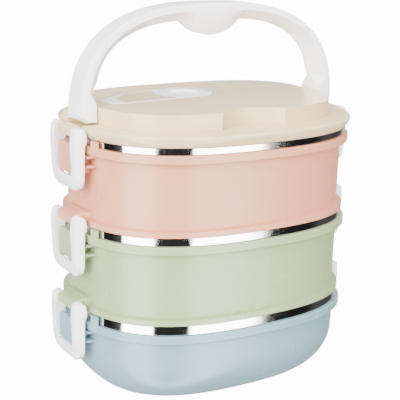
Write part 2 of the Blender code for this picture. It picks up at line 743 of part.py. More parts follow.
def folded_room(margin):
    """Plan of the space that the handle takes round the front of the plateau once it lies flat."""
    edge = []
    for ring in handle_rings():
        x, rise = ring[4][0], ring[4][2] - LEDGE_Z
        if rise >= HANDLE_FOOT_TOP and x > GRIP_HALF_WIDTH:
            edge.append((x, HANDLE_AXIS_Y + HANDLE_AXIS_RISE - rise))
    far, front, start = HALF_LENGTH + 5.0, -HALF_WIDTH - 5.0, edge[0][1]
    corners = [(-far, start), (-far, front), (far, front), (far, start)]
    return swell(edge + [(-x, y) for x, y in reversed(edge)] + corners, margin)


def make_handle():
    half = handle_rings()
    other = [[(-x, y, z) for x, y, z in ring] for ring in reversed(half[:-1])]
    handle = loft("carry_handle", half + other)
    for side in (1, -1):
        front, back = -HANDLE_WIDTH / 2, HANDLE_WIDTH / 2
        rise = LEDGE_Z + HANDLE_FOOT_GAP
        low, high = sorted((side * (HANDLE_HALF_LENGTH - 4.0), side * (HANDLE_HALF_LENGTH + 3.0)))
        cut(handle, prism("step", [(front - 1.0, rise - 3.0), (back + 1.0, rise - 3.0), (back + 1.0, rise + 0.8),
                                   (front - 1.0, rise + HANDLE_FOOT_STEP + 1.0)], 0, low, high))
        low, high = sorted((side * (PLATEAU_END - 1.0), side * (HANDLE_PIN_OUT + GAP)))
        cut(handle, rod("bore", (HANDLE_AXIS_Y, LEDGE_Z + HANDLE_AXIS_RISE), HANDLE_PIN_RADIUS + GAP,
                        0, low, high))
    return handle


def latch_profile():
    """Side view of a latch about its pivot: x outwards, z up."""
    end = -LATCH_LENGTH
    top = arc(0.0, 0.0, 3.6, 165.0, 20.0, 4)
    chin = [(3.9, -3.0), (3.9, -8.0), (3.5, -15.0), (3.0, -23.0), (2.2, end + 3.5), (1.2, end)]
    rear = [(-0.9, end), (-2.4, end + 2.2), (-2.7, -7.0), (-3.9, -4.8), (-3.9, -2.0), (-3.5, 0.0)]
    return top + chin + rear


def latch_outline():
    """Front view of a latch about its pivot: a tall plate with two round lower corners."""
    w = LATCH_HALF_WIDTH
    r = LATCH_CORNER
    end = -LATCH_LENGTH
    points = [(w, 6.0), (-w, 6.0)]
    points += arc(-w + r, end + r, r, 180.0, 270.0, 3)
    points += arc(w - r, end + r, r, 270.0, 360.0, 3)
    return points


def make_latch():
    """One bail, standing for the right end with its pivot at the origin."""
    bail = prism("latch", latch_profile(), 1, -LATCH_HALF_WIDTH - 1.0, LATCH_HALF_WIDTH + 1.0)
    combine(bail, prism("outline", latch_outline(), 0, -8.0, 10.0), "INTERSECT")
    soften(bail, 0.9, 1, 40.0)
    inner = LATCH_HALF_WIDTH - LATCH_ARM
    end = -LATCH_LENGTH
    lip = end + LATCH_BAR
    hook = end + LATCH_HOOK
    room = prism("room", [(-9.0, 12.0), (-9.0, end - 3.0), (-1.5, end - 3.0), (-1.5, hook), (0.9, hook),
                          (0.9, 12.0)], 1, -inner, inner)
    r = LATCH_WINDOW_CORNER
    window = prism("window", [(inner, 12.0), (-inner, 12.0)] + arc(-inner + r, lip + r, r, 180.0, 270.0, 2)
                   + arc(inner - r, lip + r, r, 270.0, 360.0, 2), 0, 0.2, 12.0)
    cut(bail, room)
    cut(bail, window)
    cut(bail, rod("bore", (0.0, 0.0), LATCH_PIN_RADIUS + GAP, 1, -LATCH_PIN_LENGTH / 2 - GAP,
                  LATCH_PIN_LENGTH / 2 + GAP, 12))
    return bail


def turned_copy(source, name, side, spot):
    """Copy a piece to a pivot; the left end's is turned half round."""
    copy = bpy.data.objects.new(name, source.data.copy())
    bpy.context.scene.collection.objects.link(copy)
    turn = Matrix.Rotation(0.0 if side > 0 else math.pi, 4, "Z")
    copy.data.transform(turn)
    copy.data.transform(Matrix.Translation(Vector(spot)))
    return copy


blue_shell = settle(make_base(), "blue_shell", (0.0, 0.0, 0.0), "blue_plastic", BLUE)
settle(revolve_oval("bowl", base_bowl_profile(0.0, BASE_HEIGHT, BASE_RIM)), "blue_bowl",
       (0.0, 0.0, 0.0), "mirror_steel", MIRROR, blue_shell)

shells = {}
below = blue_shell
for colour, low, high, rim, look, seat in (
    ("green", GREEN_Z, GREEN_TOP, GREEN_RIM, GREEN, BASE_HEIGHT),
    ("pink", PINK_Z, PINK_TOP, PINK_RIM, PINK, GREEN_TOP),
):
    pivot = (0.0, 0.0, low)
    shell = settle(make_tier(colour, low, high, rim), colour + "_shell", pivot, colour + "_plastic", look, below)
    settle(revolve_oval("bowl", bowl_profile(low, high, rim)), colour + "_bowl", pivot,
           "mirror_steel", MIRROR, shell)
    settle(revolve_oval("seal", seal_profile(seat, low), True), colour + "_seal", pivot,
           "silicone", SILICONE, shell)
    shells[colour] = shell
    below = shell

lid_pivot = (0.0, 0.0, LID_Z)
cover = settle(make_cover(), "lid_cover", lid_pivot, "cream_plastic", CREAM, below)
shells["lid"] = cover
settle(make_liner(), "lid_liner", lid_pivot, "white_plastic", WHITE, cover)
settle(revolve_oval("seal", seal_profile(PINK_TOP, LID_Z), True), "lid_seal", lid_pivot,
       "silicone", SILICONE, cover)

latch = make_latch()
for carrier, low in (("lid", LID_Z), ("pink", PINK_Z), ("green", GREEN_Z)):
    for side, hand in ((1, "right"), (-1, "left")):
        pivot = (side * LATCH_PIVOT_X, 0.0, low + LATCH_PIVOT_RISE)
        piece = turned_copy(latch, "latch_copy", side, pivot)
        settle(piece, carrier + "_latch_" + hand, pivot, "white_plastic", WHITE, shells[carrier])
        pin = rod("pin", (pivot[0], pivot[2]), LATCH_PIN_RADIUS, 1, -LATCH_PIN_LENGTH / 2,
                  LATCH_PIN_LENGTH / 2, 12)
        settle(pin, carrier + "_latch_pin_" + hand, pivot, "pin_steel", PIN_STEEL, shells[carrier])
bpy.data.objects.remove(latch, do_unlink=True)

handle_pivot = (0.0, HANDLE_AXIS_Y, LEDGE_Z + HANDLE_AXIS_RISE)
settle(make_handle(), "carry_handle", handle_pivot, "white_plastic", WHITE, cover)
for side, hand in ((1, "right"), (-1, "left")):
    low, high = sorted((side * HANDLE_PIN_IN, side * HANDLE_PIN_OUT))
    pin = rod("pin", (HANDLE_AXIS_Y, LEDGE_Z + HANDLE_AXIS_RISE), HANDLE_PIN_RADIUS, 0, low, high)
    settle(pin, "handle_pin_" + hand, handle_pivot, "pin_steel", PIN_STEEL, cover)

vent_pivot = (VENT_HINGE_X, VENT_HINGE_Y, LID_TOP - VENT_HINGE_DROP)
settle(make_lever(), "vent_lever", vent_pivot, "white_plastic", WHITE, cover)
pin = rod("pin", (VENT_HINGE_X, LID_TOP - VENT_HINGE_DROP), VENT_PIN_RADIUS, 1,
          VENT_HINGE_Y - VENT_PIN_LENGTH / 2, VENT_HINGE_Y + VENT_PIN_LENGTH / 2, 12)
settle(pin, "vent_pin", vent_pivot, "pin_steel", PIN_STEEL, cover)
plug_top = LID_TOP - VENT_THICKNESS - GAP
plug = rod("plug", (HEAD_X, VENT_Y), PLUG_RADIUS, 2, plug_top - PLUG_HEIGHT, plug_top, 16)
settle(soften(plug, 0.6), "vent_plug", vent_pivot, "silicone", SILICONE, cover)
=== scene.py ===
"""Stacking lunch box: fine surfaces, materials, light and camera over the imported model."""
import json
import math

import bpy
import bmesh
import numpy as np
from mathutils import Matrix, Vector


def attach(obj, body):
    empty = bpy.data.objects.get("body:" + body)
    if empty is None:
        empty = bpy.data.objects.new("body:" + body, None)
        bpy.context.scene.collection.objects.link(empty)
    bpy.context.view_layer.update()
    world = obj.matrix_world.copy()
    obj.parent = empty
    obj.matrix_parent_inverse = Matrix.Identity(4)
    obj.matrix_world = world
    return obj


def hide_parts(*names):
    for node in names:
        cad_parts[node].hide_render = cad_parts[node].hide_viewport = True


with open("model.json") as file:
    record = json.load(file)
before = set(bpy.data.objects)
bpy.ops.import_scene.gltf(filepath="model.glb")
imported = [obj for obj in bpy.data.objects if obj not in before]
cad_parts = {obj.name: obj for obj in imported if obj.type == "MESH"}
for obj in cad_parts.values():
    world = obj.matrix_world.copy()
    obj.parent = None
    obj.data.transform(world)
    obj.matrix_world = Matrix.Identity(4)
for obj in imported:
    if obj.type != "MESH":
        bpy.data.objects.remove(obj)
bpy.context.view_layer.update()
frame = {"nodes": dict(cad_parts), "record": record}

# Shapes are in millimetres and degrees until a piece is finished, which takes it to metres
MM = 0.001

# Fineness: points round the outline, steps on an arc for each one asked for, lengths that count as equal, and
# the angle from which an edge is sharp
OUTLINE_POINTS = 144
ARC_FINENESS = 3
TOLERANCE = 1e-4
SHARP_ANGLE = 35.0

# How far a cutting block runs past the solid that it cuts
PAST = 1.0

# Plan outline, shared by every tub and the lid
HALF_LENGTH = 87.5
HALF_WIDTH = 68.0
OUTLINE_POWER = 2.6

# Levels of the stack
BASE_HEIGHT = 49.0
BASE_RIM = 5.8
TIER_HEIGHT = 47.0
GREEN_RIM = 5.0
PINK_RIM = 4.1

# Tub walls
WALL = 2.2
FLOOR = 2.4
FLANGE_HEIGHT = 5.0
FLANGE_EDGE = 0.5
GROOVE_HEIGHT = 0.8
GROOVE_DEPTH = 0.8
WALL_TOP_INSET = 4.2
WALL_BOTTOM_INSET = 4.6
BASE_WALL_INSET = 3.4
FOOT_INSET = 1.5
FOOT_HEIGHT = 3.2
FOOT_SLOPE = 0.6
FLOOR_CHAMFER = 4.0
BASE_ROUND = 30.0
BASE_ROUND_STOP = 262.0
BASE_LEAN = 0.5
BASE_RECESS_INSET = 38.0
BASE_RECESS = 1.0
RECESS_SLOPE = 1.2
RECESS_INNER_SLOPE = 2.0

# Steel bowls
STEEL = 0.8
BAND_INSET = 1.8
BOWL_ROUND = 8.0
FIT = 0.4
GAP = 0.3

# Seals under the lid and the two upper tubs
TONGUE_WIDTH = 1.5
TONGUE_INSET = 5.2
TONGUE_HEIGHT = 1.1

# Lid
SKIRT_HEIGHT = 6.6
SKIRT_WALL = 2.5
SKIRT_FLARE = 2.4
SKIRT_CHAMFER = 0.4
SKIRT_CURL = 1.6
LEDGE_EDGE = 1.2
PLATEAU_HALF_LENGTH = HALF_LENGTH - 7.0
PLATEAU_HALF_WIDTH = HALF_WIDTH - 13.0
PLATEAU_POWER = 3.0
PLATEAU_HEIGHT = 9.5
PLATEAU_DRAFT = 0.6
PLATEAU_ROUND = 1.2
PLATEAU_SKIN = 2.5
PLATEAU_SINK = 1.5
NOTCH_RADIUS = 28.6
NOTCH_BACK = PLATEAU_HALF_WIDTH - 11.6
LINER_THICKNESS = 3.0
CEILING_RISE = 1.0
PIN_BOSS_DEPTH = 2.5
BOSS_MARGIN = 4.0
BOSS_FRONT_MARGIN = 5.0
BOSS_END_MARGIN = 11.0

# Carry handle
HANDLE_HALF_LENGTH = HALF_LENGTH + 0.5
HANDLE_RISE = 66.5
HANDLE_POWER = 2.6
RIDGE_HALF_LENGTH = HANDLE_HALF_LENGTH - 12.7
RIDGE_RISE = HANDLE_RISE - 10.7
RIDGE_POWER = 3.05
HANDLE_WIDTH = 18.0
HANDLE_FOOT_TOP = 10.0
HANDLE_FOOT_GAP = 0.8
HANDLE_FOOT_STEP = 2.5
FOOT_ROUND = 0.8
FOOT_TIP_MARGIN = 0.5
FOOT_TIP_INSET = 0.7
FOOT_BACK_STEP = 0.8
FOOT_STEP_DEPTH = 4.0
GRIP_HALF_WIDTH = 21.0
GRIP_RADIUS = 29.0

# The handle's cross-section. Its crown is given by pairs: a share of the half width and a share of the
# depth. Below it, the flanks end at a share of the depth, and the ridge is blunt by its tip's half width.
CROWN = ((0.0, 0.0), (0.3, 0.001), (0.6, 0.005), (0.8, 0.011),
         (0.88, 0.018), (0.94, 0.034), (0.98, 0.062), (1.0, 0.10))
FLANK = 0.42
RIDGE_TIP = 1.0
GRIP_FLANK_GROWTH = 0.12
GRIP_TIP = 1.2
GRIP_TIP_GROWTH = 1.6

# Where the legs' section changes into the arch's, and the arch's into the grip's
RIDGE_BLEND_START = 4.0
RIDGE_BLEND = 9.0
FLANK_BLEND = 10.0
TIP_BLEND = 9.0
GRIP_BLEND = 12.0

# Where the sections stand: rises up the foot and the leg, even angles round the bend, then even reaches
FOOT_RISES = (0.0, 0.15, 0.4, 0.8, 1.6, 3.0, 5.0, 7.0)
LEG_STEP = 0.5
LEG_STEPS = 27
BEND_START_STEP = 1.0
BEND_STEPS = 32
BEND_END = 42.0
SHOULDER_START = 40.5
SHOULDER_STEP = 1.5
SHOULDER_STEPS = 13
GRIP_START_MARGIN = 0.3

# The handle's pins, the plateau's bent ends between its feet, the feet's seats and the posts behind them
HANDLE_AXIS_Y = -4.2
HANDLE_AXIS_RISE = 6.2
HANDLE_PIN_RADIUS = 2.0
PLATEAU_END = HANDLE_HALF_LENGTH - 11.4
END_BEND = ((0.0, 16.0), (0.7, 22.0), (2.6, 28.5), (6.6, 37.0))
END_HALF_WIDTH = 40.0
END_MARGIN = 5.0
FOOT_GAP = 1.0
FOLD_CLEARANCE = 0.8
HANDLE_PIN_IN = PLATEAU_END - 5.6
HANDLE_PIN_OUT = HANDLE_HALF_LENGTH - 3.4
POCKET_DEPTH = 1.3
POCKET_MARGIN = 0.5
POCKET_FRONT_MARGIN = 2.0
POCKET_END_MARGIN = 0.6
POST_WIDTH = 7.7
POST_GAP = 1.3
POST_HEIGHT = 5.2
POST_OUT = HANDLE_HALF_LENGTH
POST_IN = POST_OUT - 8.6
POST_SLOPE = 3.0
POST_SINK = 2.0
POST_EDGE = 1.2

# Latches, about their pivot. The cutters reach LATCH_BEYOND past it, and the blank is cut to its own reach.
LATCH_HALF_WIDTH = 17.0
LATCH_ARM = 6.2
LATCH_PIVOT_X = HALF_LENGTH + 4.0
LATCH_PIVOT_RISE = 2.6
LATCH_LENGTH = 33.0
LATCH_CORNER = 8.0
LATCH_BAR = 8.3
LATCH_HOOK = 6.2
LATCH_WINDOW_CORNER = 3.0
LATCH_EYE_RADIUS = 3.6
LATCH_SLOT_BACK = -1.5
LATCH_SLOT_FACE = 0.9
LATCH_WINDOW_BACK = 0.2
LATCH_EDGE = 1.2
LATCH_BLANK_TOP = 6.0
LATCH_BLANK_BACK = -8.0
LATCH_BLANK_FACE = 10.0
LATCH_BEYOND = 12.0
LATCH_PIN_RADIUS = 1.2
LATCH_PIN_LENGTH = 29.0

# Ears and hoods at a piece's lower end, which carry the latches, and lugs, fins and posts at its upper end
EAR_OUT = LATCH_PIVOT_X + 2.5
EAR_CLEARANCE = 0.5
EAR_LIFT = 0.3
EAR_FRONT_HEIGHT = 5.4
EAR_BROW = HALF_LENGTH + 0.6
EAR_IN = HALF_LENGTH - TONGUE_INSET + 0.7
EAR_EDGE = 1.0
EAR_DROP = 0.2
HOOD_HEIGHT = 7.7
HOOD_OUT = LATCH_PIVOT_X - 4.7
HOOD_HALF_WIDTH = 12.3
HOOD_EDGE = 0.8
HOOD_STEP = 0.3
HOOD_BROW = HOOD_OUT - 0.5
BLOCK_IN = HALF_LENGTH - 12.0
BLOCK_BITE = 1.3
HOOD_BITE = 1.1
LUG_DROP = 21.6
LUG_OUT = LATCH_PIVOT_X + 2.0
LUG_EDGE = 1.4
FIN_DROPS = (6.0, 11.5)
FIN_THICKNESS = 1.2
FIN_IN = HALF_LENGTH - 11.5
FIN_OUT = LATCH_PIVOT_X - 3.7
FIN_HALF_WIDTH = LATCH_HALF_WIDTH + 1.0
POST_RIM_OUT = HALF_LENGTH - 0.6
POST_RIM_Y = 20.0
POST_RIM_WIDTH = 5.0
POST_RIM_THICKNESS = 2.5

# Vent: a lever with a round head and a tail on a hinge, the panel inside its window, and the plug
HEAD_X = -4.5
VENT_Y = 18.5
HEAD_RADIUS = 17.5
HEAD_ARC = (-85.0, 101.0)
VENT_TAIL = ((-43.0, 28.5), (-65.5, 12.5), (-64.0, -3.5))
VENT_ISLAND = ((-42.5, 26.2), (-54.5, 11.5), (-54.5, -0.5))
VENT_THICKNESS = 2.2
VENT_GAP = 0.5
VENT_EDGE = 0.4
ISLAND_NECK = 3.0
ISLAND_ARC = (232.5, 143.0)
DIMPLE_FLOOR_RADIUS = 9.2
DIMPLE_MOUTH_RADIUS = 10.9
DIMPLE_DEPTH = 1.2
DIMPLE_RISE = 0.5
VENT_HINGE_X = -59.5
VENT_HINGE_Y = 4.5
VENT_HUB_HALF = 5.0
VENT_HINGE_DROP = 2.4
VENT_PIN_RADIUS = 0.8
VENT_PIN_LENGTH = 17.0
VENT_HUB_RADIUS = 2.1
VENT_HUB_TRIM = 0.7
HUB_ROOM_SIDE = 0.8
HUB_ROOM_BELOW = 0.9
HUB_ROOM_ROOF = 0.6
HUB_ROOM_END = 0.6
PLUG_RADIUS = 5.0
PLUG_HEIGHT = 2.5
VENT_HOLE_RADIUS = 2.0
LINER_HOLE_RADIUS = 3.0

GREEN_Z = BASE_HEIGHT + BASE_RIM
GREEN_TOP = GREEN_Z + TIER_HEIGHT
PINK_Z = GREEN_TOP + GREEN_RIM
PINK_TOP = PINK_Z + TIER_HEIGHT
LID_Z = PINK_TOP + PINK_RIM
LEDGE_Z = LID_Z + SKIRT_HEIGHT
LID_TOP = LEDGE_Z + PLATEAU_HEIGHT


def outline_angles(count):
    """Angles round the outline, closer together where it turns faster; alike in all four quarters."""
    samples, turn_weight = 2001, 0.7
    fine = np.linspace(0.0, math.pi / 2, samples)
    x = HALF_LENGTH * np.cos(fine) ** (2 / OUTLINE_POWER)
    y = HALF_WIDTH * np.sin(fine) ** (2 / OUTLINE_POWER)
    dx, dy = np.diff(x), np.diff(y)
    run = np.concatenate([[0.0], np.cumsum(np.hypot(dx, dy))])
    turn = np.unwrap(np.arctan2(dy, dx))
    turn = np.concatenate([[turn[0]], turn])
    turn = np.abs(turn - turn[0])
    pace = run / run[-1] + turn_weight * turn / turn[-1]
    steps = np.linspace(0.0, pace[-1], count // 4 + 1)
    quarter = list(np.interp(steps, pace, fine))
    back = [math.pi - a for a in reversed(quarter)][1:]
    half = quarter + back
    return half + [a + math.pi for a in half[1:-1]]


ANGLES = outline_angles(OUTLINE_POINTS)


def oval(a, b, z, power=OUTLINE_POWER):
    """One ring of the outline with half length a and half width b, at height z."""
    def reach(half, share):
        return half * math.copysign(abs(share) ** (2 / power), share) if abs(share) > 1e-9 else 0.0
    return [(reach(a, math.cos(t)), reach(b, math.sin(t)), z) for t in ANGLES]


def inset_ring(inset, z):
    """The tubs' outline, drawn in by the same amount all round."""
    return oval(HALF_LENGTH - inset, HALF_WIDTH - inset, z)


def root(block, inset, low, high):
    """Trim the inner end of a block to a ring inside the wall that carries it."""
    return cut(block, loft("root", [inset_ring(inset, low - PAST), inset_ring(inset, high + PAST)]))


def make_object(name, bm):
    """Turn a bmesh into an object of the scene."""
    bmesh.ops.remove_doubles(bm, verts=bm.verts, dist=TOLERANCE)
    bmesh.ops.recalc_face_normals(bm, faces=bm.faces)
    mesh = bpy.data.meshes.new(name)
    bm.to_mesh(mesh)
    bm.free()
    obj = bpy.data.objects.new(name, mesh)
    bpy.context.scene.collection.objects.link(obj)
    return obj


def loft(name, rings, closed=False):
    """Skin over rings of equally many points; closed joins the last ring to the first, else both get caps."""
    bm = bmesh.new()
    rows = [[bm.verts.new(p) for p in ring] for ring in rings]
    pairs = list(zip(rows, rows[1:]))
    if closed:
        pairs.append((rows[-1], rows[0]))
    count = len(rows[0])
    for low, high in pairs:
        for i in range(count):
            j = (i + 1) % count
            bm.faces.new((low[i], low[j], high[j], high[i]))
    if not closed:
        bm.faces.new(list(reversed(rows[0])))
        bm.faces.new(rows[-1])
    return make_object(name, bm)


def revolve_oval(name, profile, closed=False):
    """Carry a profile of (inset, z) points round the plan outline."""
    return loft(name, [inset_ring(inset, z) for inset, z in profile], closed)


def prism(name, points, axis, low, high):
    """Extrude an outline; its two coordinates are the other two axes in order."""
    def at(p, level):
        flat = list(p)
        flat.insert(axis, level)
        return tuple(flat)
    return loft(name, [[at(p, low) for p in points], [at(p, high) for p in points]])


def box(name, x0, x1, y0, y1, z0, z1):
    """Block between two values on each axis."""
    return prism(name, [(x0, y0), (x1, y0), (x1, y1), (x0, y1)], 2, z0, z1)


def arc(cx, cy, radius, start, end, steps):
    """Points on an arc, angles in degrees."""
    steps *= ARC_FINENESS
    points = []
    for i in range(steps + 1):
        t = math.radians(start + (end - start) * i / steps)
        points.append((cx + radius * math.cos(t), cy + radius * math.sin(t)))
    return points


def rod(name, centre, radius, axis, low, high, sides=12):
    """Cylinder along an axis; centre gives the other two coordinates."""
    step = 360.0 / sides
    circle = arc(centre[0], centre[1], radius, step / 2, 360.0 + step / 2, sides)[:-1]
    return prism(name, circle, axis, low, high)


def apply_modifier(obj, kind, **values):
    """Work a modifier into an object's mesh."""
    modifier = obj.modifiers.new("shape", kind)
    for key, value in values.items():
        setattr(modifier, key, value)
    graph = bpy.context.evaluated_depsgraph_get()
    graph.update()
    result = bpy.data.meshes.new_from_object(obj.evaluated_get(graph))
    obj.modifiers.remove(modifier)
    obj.data = result
    return obj


def combine(target, other, operation):
    """Apply one exact Boolean and drop the tool."""
    apply_modifier(target, "BOOLEAN", operation=operation, solver="EXACT", object=other)
    bpy.data.objects.remove(other, do_unlink=True)
    return target


def join(target, *others):
    """Fuse the others to the target."""
    for other in others:
        combine(target, other, "UNION")
    return target


def cut(target, *others):
    """Take the others out of the target."""
    for other in others:
        combine(target, other, "DIFFERENCE")
    return target


def soften(obj, width, segments, angle=SHARP_ANGLE):
    """Bevel the sharp edges."""
    return apply_modifier(obj, "BEVEL", width=width, segments=segments, limit_method="ANGLE",
                          angle_limit=math.radians(angle))


def end_box(name, side, x0, x1, y0, y1, z0, z1):
    """Block at the right end (side 1) or mirrored to the left (side -1)."""
    low, high = sorted((side * x0, side * x1))
    return box(name, low, high, y0, y1, z0, z1)


def tier_profile(low, high):
    """Closed section of a straight-walled tub, from under the floor, round the wall, to the inner floor."""
    groove_top = high - FLANGE_HEIGHT
    groove_low = groove_top - GROOVE_HEIGHT
    tongue_in = TONGUE_INSET + TONGUE_WIDTH + GAP
    tongue_out = TONGUE_INSET - GAP
    tongue_top = low + TONGUE_HEIGHT + GAP
    inner_low = WALL_BOTTOM_INSET + WALL
    inner_top = WALL_TOP_INSET + WALL
    floor = low + FLOOR
    return [
        (tongue_in, low), (tongue_in, tongue_top), (tongue_out, tongue_top), (tongue_out, low),
        (FOOT_INSET, low), (FOOT_INSET, low + FOOT_HEIGHT),
        (WALL_BOTTOM_INSET, low + FOOT_HEIGHT + FOOT_SLOPE), (WALL_TOP_INSET, groove_low),
        (WALL_TOP_INSET + GROOVE_DEPTH, groove_low), (WALL_TOP_INSET + GROOVE_DEPTH, groove_top),
        (FLANGE_EDGE, groove_top),
        (0.0, groove_top + FLANGE_EDGE), (0.0, high - FLANGE_EDGE), (FLANGE_EDGE, high),
        (inner_top, high), (inner_low, floor + FLOOR_CHAMFER), (inner_low + FLOOR_CHAMFER, floor),
    ]


def base_profile(low, high):
    """Closed section of the bottom tub: a round-bottomed shell with a foot recess."""
    groove_top = high - FLANGE_HEIGHT
    groove_low = groove_top - GROOVE_HEIGHT
    centre = (BASE_WALL_INSET + BASE_LEAN + BASE_ROUND, low + BASE_ROUND)
    foot = [(BASE_RECESS_INSET + RECESS_SLOPE, low + BASE_RECESS), (BASE_RECESS_INSET, low)]
    outer = arc(*centre, BASE_ROUND, 270.0, 180.0, 6)
    inner = arc(*centre, BASE_ROUND - WALL, 180.0, BASE_ROUND_STOP, 5)
    return foot + outer + [
        (BASE_WALL_INSET, groove_low), (BASE_WALL_INSET + GROOVE_DEPTH, groove_low),
        (BASE_WALL_INSET + GROOVE_DEPTH, groove_top),
        (FLANGE_EDGE, groove_top), (0.0, groove_top + FLANGE_EDGE), (0.0, high - FLANGE_EDGE),
        (FLANGE_EDGE, high), (BASE_WALL_INSET + WALL, high),
    ] + inner + [(BASE_RECESS_INSET + RECESS_INNER_SLOPE, low + BASE_RECESS + WALL)]


def band(high, rim):
    """Upper part of a bowl's section: out over the tub's edge and up, then back down inside."""
    ledge = high + GAP
    top = high + rim - GAP
    inner = BAND_INSET + STEEL
    return [(BAND_INSET, ledge), (BAND_INSET, top), (inner, top), (inner, ledge + STEEL)]


def bowl_section(outer, inner, side_top, high, rim):
    """Closed section of a bowl: up its outside, round the band, and down its inside."""
    return (outer + [(side_top, high + GAP)] + band(high, rim)
            + [(side_top + STEEL, high + GAP + STEEL)] + inner)


def bowl_profile(low, high, rim):
    """Section of a pressed steel bowl in a straight tub."""
    centre = (WALL_BOTTOM_INSET + WALL + FIT + BOWL_ROUND, low + FLOOR + FIT + BOWL_ROUND)
    outer = arc(*centre, BOWL_ROUND, 270.0, 180.0, 2)
    inner = arc(*centre, BOWL_ROUND - STEEL, 180.0, 270.0, 2)
    return bowl_section(outer, inner, WALL_TOP_INSET + WALL + FIT, high, rim)


def base_bowl_profile(low, high, rim):
    """Section of the bottom tub's bowl, which follows the round bottom."""
    centre = (BASE_WALL_INSET + BASE_LEAN + BASE_ROUND, low + BASE_ROUND + FIT + BASE_RECESS)
    outer = arc(*centre, BASE_ROUND - WALL - FIT, 270.0, 180.0, 5)
    inner = arc(*centre, BASE_ROUND - WALL - FIT - STEEL, 180.0, 270.0, 5)
    return bowl_section(outer, inner, BASE_WALL_INSET + WALL + FIT, high, rim)


def seal_profile(seat, low):
    """Ring under a tub or the lid: it lies on the bowl's ledge, and its tongue grips a groove above."""
    outer = BAND_INSET + STEEL + FIT
    bottom = seat + GAP + STEEL + GAP
    top = low - GAP
    return [
        (outer, bottom), (outer, top), (TONGUE_INSET, top), (TONGUE_INSET, low + TONGUE_HEIGHT),
        (TONGUE_INSET + TONGUE_WIDTH, low + TONGUE_HEIGHT), (TONGUE_INSET + TONGUE_WIDTH, bottom),
    ]


def ear(side, low, height, brow):
    """Hinge block for one latch, between its arms: its top falls away beyond the brow."""
    half = LATCH_HALF_WIDTH - LATCH_ARM - EAR_CLEARANCE
    outline = [(EAR_IN, low), (HALF_LENGTH - FOOT_INSET, low), (EAR_OUT, low + EAR_LIFT),
               (EAR_OUT, low + EAR_FRONT_HEIGHT), (brow, low + height), (EAR_IN, low + height)]
    return soften(prism("ear", [(side * x, z) for x, z in outline], 1, -half, half), EAR_EDGE, 4)


def ear_bore(side, low):
    """Room for a latch's pin, right through its ear."""
    pivot = (side * LATCH_PIVOT_X, low + LATCH_PIVOT_RISE)
    return rod("bore", pivot, LATCH_PIN_RADIUS + GAP, 1, -LATCH_HALF_WIDTH, LATCH_HALF_WIDTH)


def lug(side, top, upper):
    """Catch block under which a latch hooks, with a fin on each side."""
    half = LATCH_HALF_WIDTH - LATCH_ARM - EAR_CLEARANCE
    bottom = upper - LUG_DROP
    block = soften(end_box("lug", side, BLOCK_IN, LUG_OUT, -half, half, bottom, top), LUG_EDGE, 4)
    for drop in FIN_DROPS:
        z = top - drop
        join(block, end_box("fin", side, FIN_IN, FIN_OUT, -FIN_HALF_WIDTH, FIN_HALF_WIDTH,
                            z - FIN_THICKNESS / 2, z + FIN_THICKNESS / 2))
    return root(block, WALL_TOP_INSET + BLOCK_BITE, bottom, top)


def rim_post(side, facing, top, rim):
    """Small post outside the steel band that carries the load past it; facing is -1 at the front."""
    y0, y1 = sorted((facing * POST_RIM_Y, facing * (POST_RIM_Y + POST_RIM_WIDTH)))
    return end_box("post", side, POST_RIM_OUT - POST_RIM_THICKNESS, POST_RIM_OUT, y0, y1,
                   top - FLANGE_HEIGHT / 2, top + rim - GAP)


def catch_end(shell, side, top, rim):
    """Upper end fittings of a tub: the lug and two rim posts."""
    join(shell, lug(side, top, top + rim))
    for facing in (-1, 1):
        join(shell, rim_post(side, facing, top, rim))


def hinge_end(shell, side, low):
    """Lower end fittings of a tub: a hood, and under it the ear with its bore."""
    hood = soften(end_box("hood", side, BLOCK_IN, HOOD_OUT, -HOOD_HALF_WIDTH, HOOD_HALF_WIDTH,
                          low + FLOOR, low + HOOD_HEIGHT), HOOD_EDGE, 3)
    join(shell, root(hood, WALL_BOTTOM_INSET + HOOD_BITE, low, low + HOOD_HEIGHT))
    join(shell, ear(side, low, HOOD_HEIGHT - HOOD_STEP, HOOD_BROW))
    cut(shell, ear_bore(side, low))


def make_tier(colour_name, low, high, rim):
    """One of the two straight tubs."""
    shell = revolve_oval(colour_name + "_shell", tier_profile(low, high))
    for side in (1, -1):
        catch_end(shell, side, high, rim)
        hinge_end(shell, side, low)
    return shell


def make_base():
    """The round-bottomed tub."""
    shell = revolve_oval("blue_shell", base_profile(0.0, BASE_HEIGHT))
    for side in (1, -1):
        catch_end(shell, side, BASE_HEIGHT, BASE_RIM)
    return shell


def plateau_ring(shrink, z):
    """The raised part's outline, drawn in all round."""
    return oval(PLATEAU_HALF_LENGTH - shrink, PLATEAU_HALF_WIDTH - shrink, z, PLATEAU_POWER)


def plateau_solid(name, shrink, low, high, rounded):
    """The raised part as a block, its upper edge rounded or sharp."""
    rings = [plateau_ring(shrink, low)]
    if rounded:
        r = PLATEAU_ROUND
        for x, z in arc(PLATEAU_DRAFT + r, high - r, r, 180.0, 90.0, 3):
            rings.append(plateau_ring(shrink + x, z))
    else:
        rings.append(plateau_ring(shrink, high))
    return loft(name, rings)


def notch(margin, low, high):
    """Cutter for the thumb notch at the front."""
    centre_y = -NOTCH_BACK - NOTCH_RADIUS
    return rod("notch", (0.0, centre_y), NOTCH_RADIUS + margin, 2, low, high, 36)


def swell(points, grow):
    """Push every side of a closed outline outwards by the same amount."""
    count = len(points)
    normals = []
    for i, (x, y) in enumerate(points):
        dx, dy = points[(i + 1) % count][0] - x, points[(i + 1) % count][1] - y
        span = math.hypot(dx, dy)
        normals.append((dy / span, -dx / span))
    moved = []
    for i, (x, y) in enumerate(points):
        (ax, ay), (bx, by) = normals[i - 1], normals[i]
        scale = grow / (1.0 + ax * bx + ay * by)
        moved.append((x + (ax + bx) * scale, y + (ay + by) * scale))
    return moved


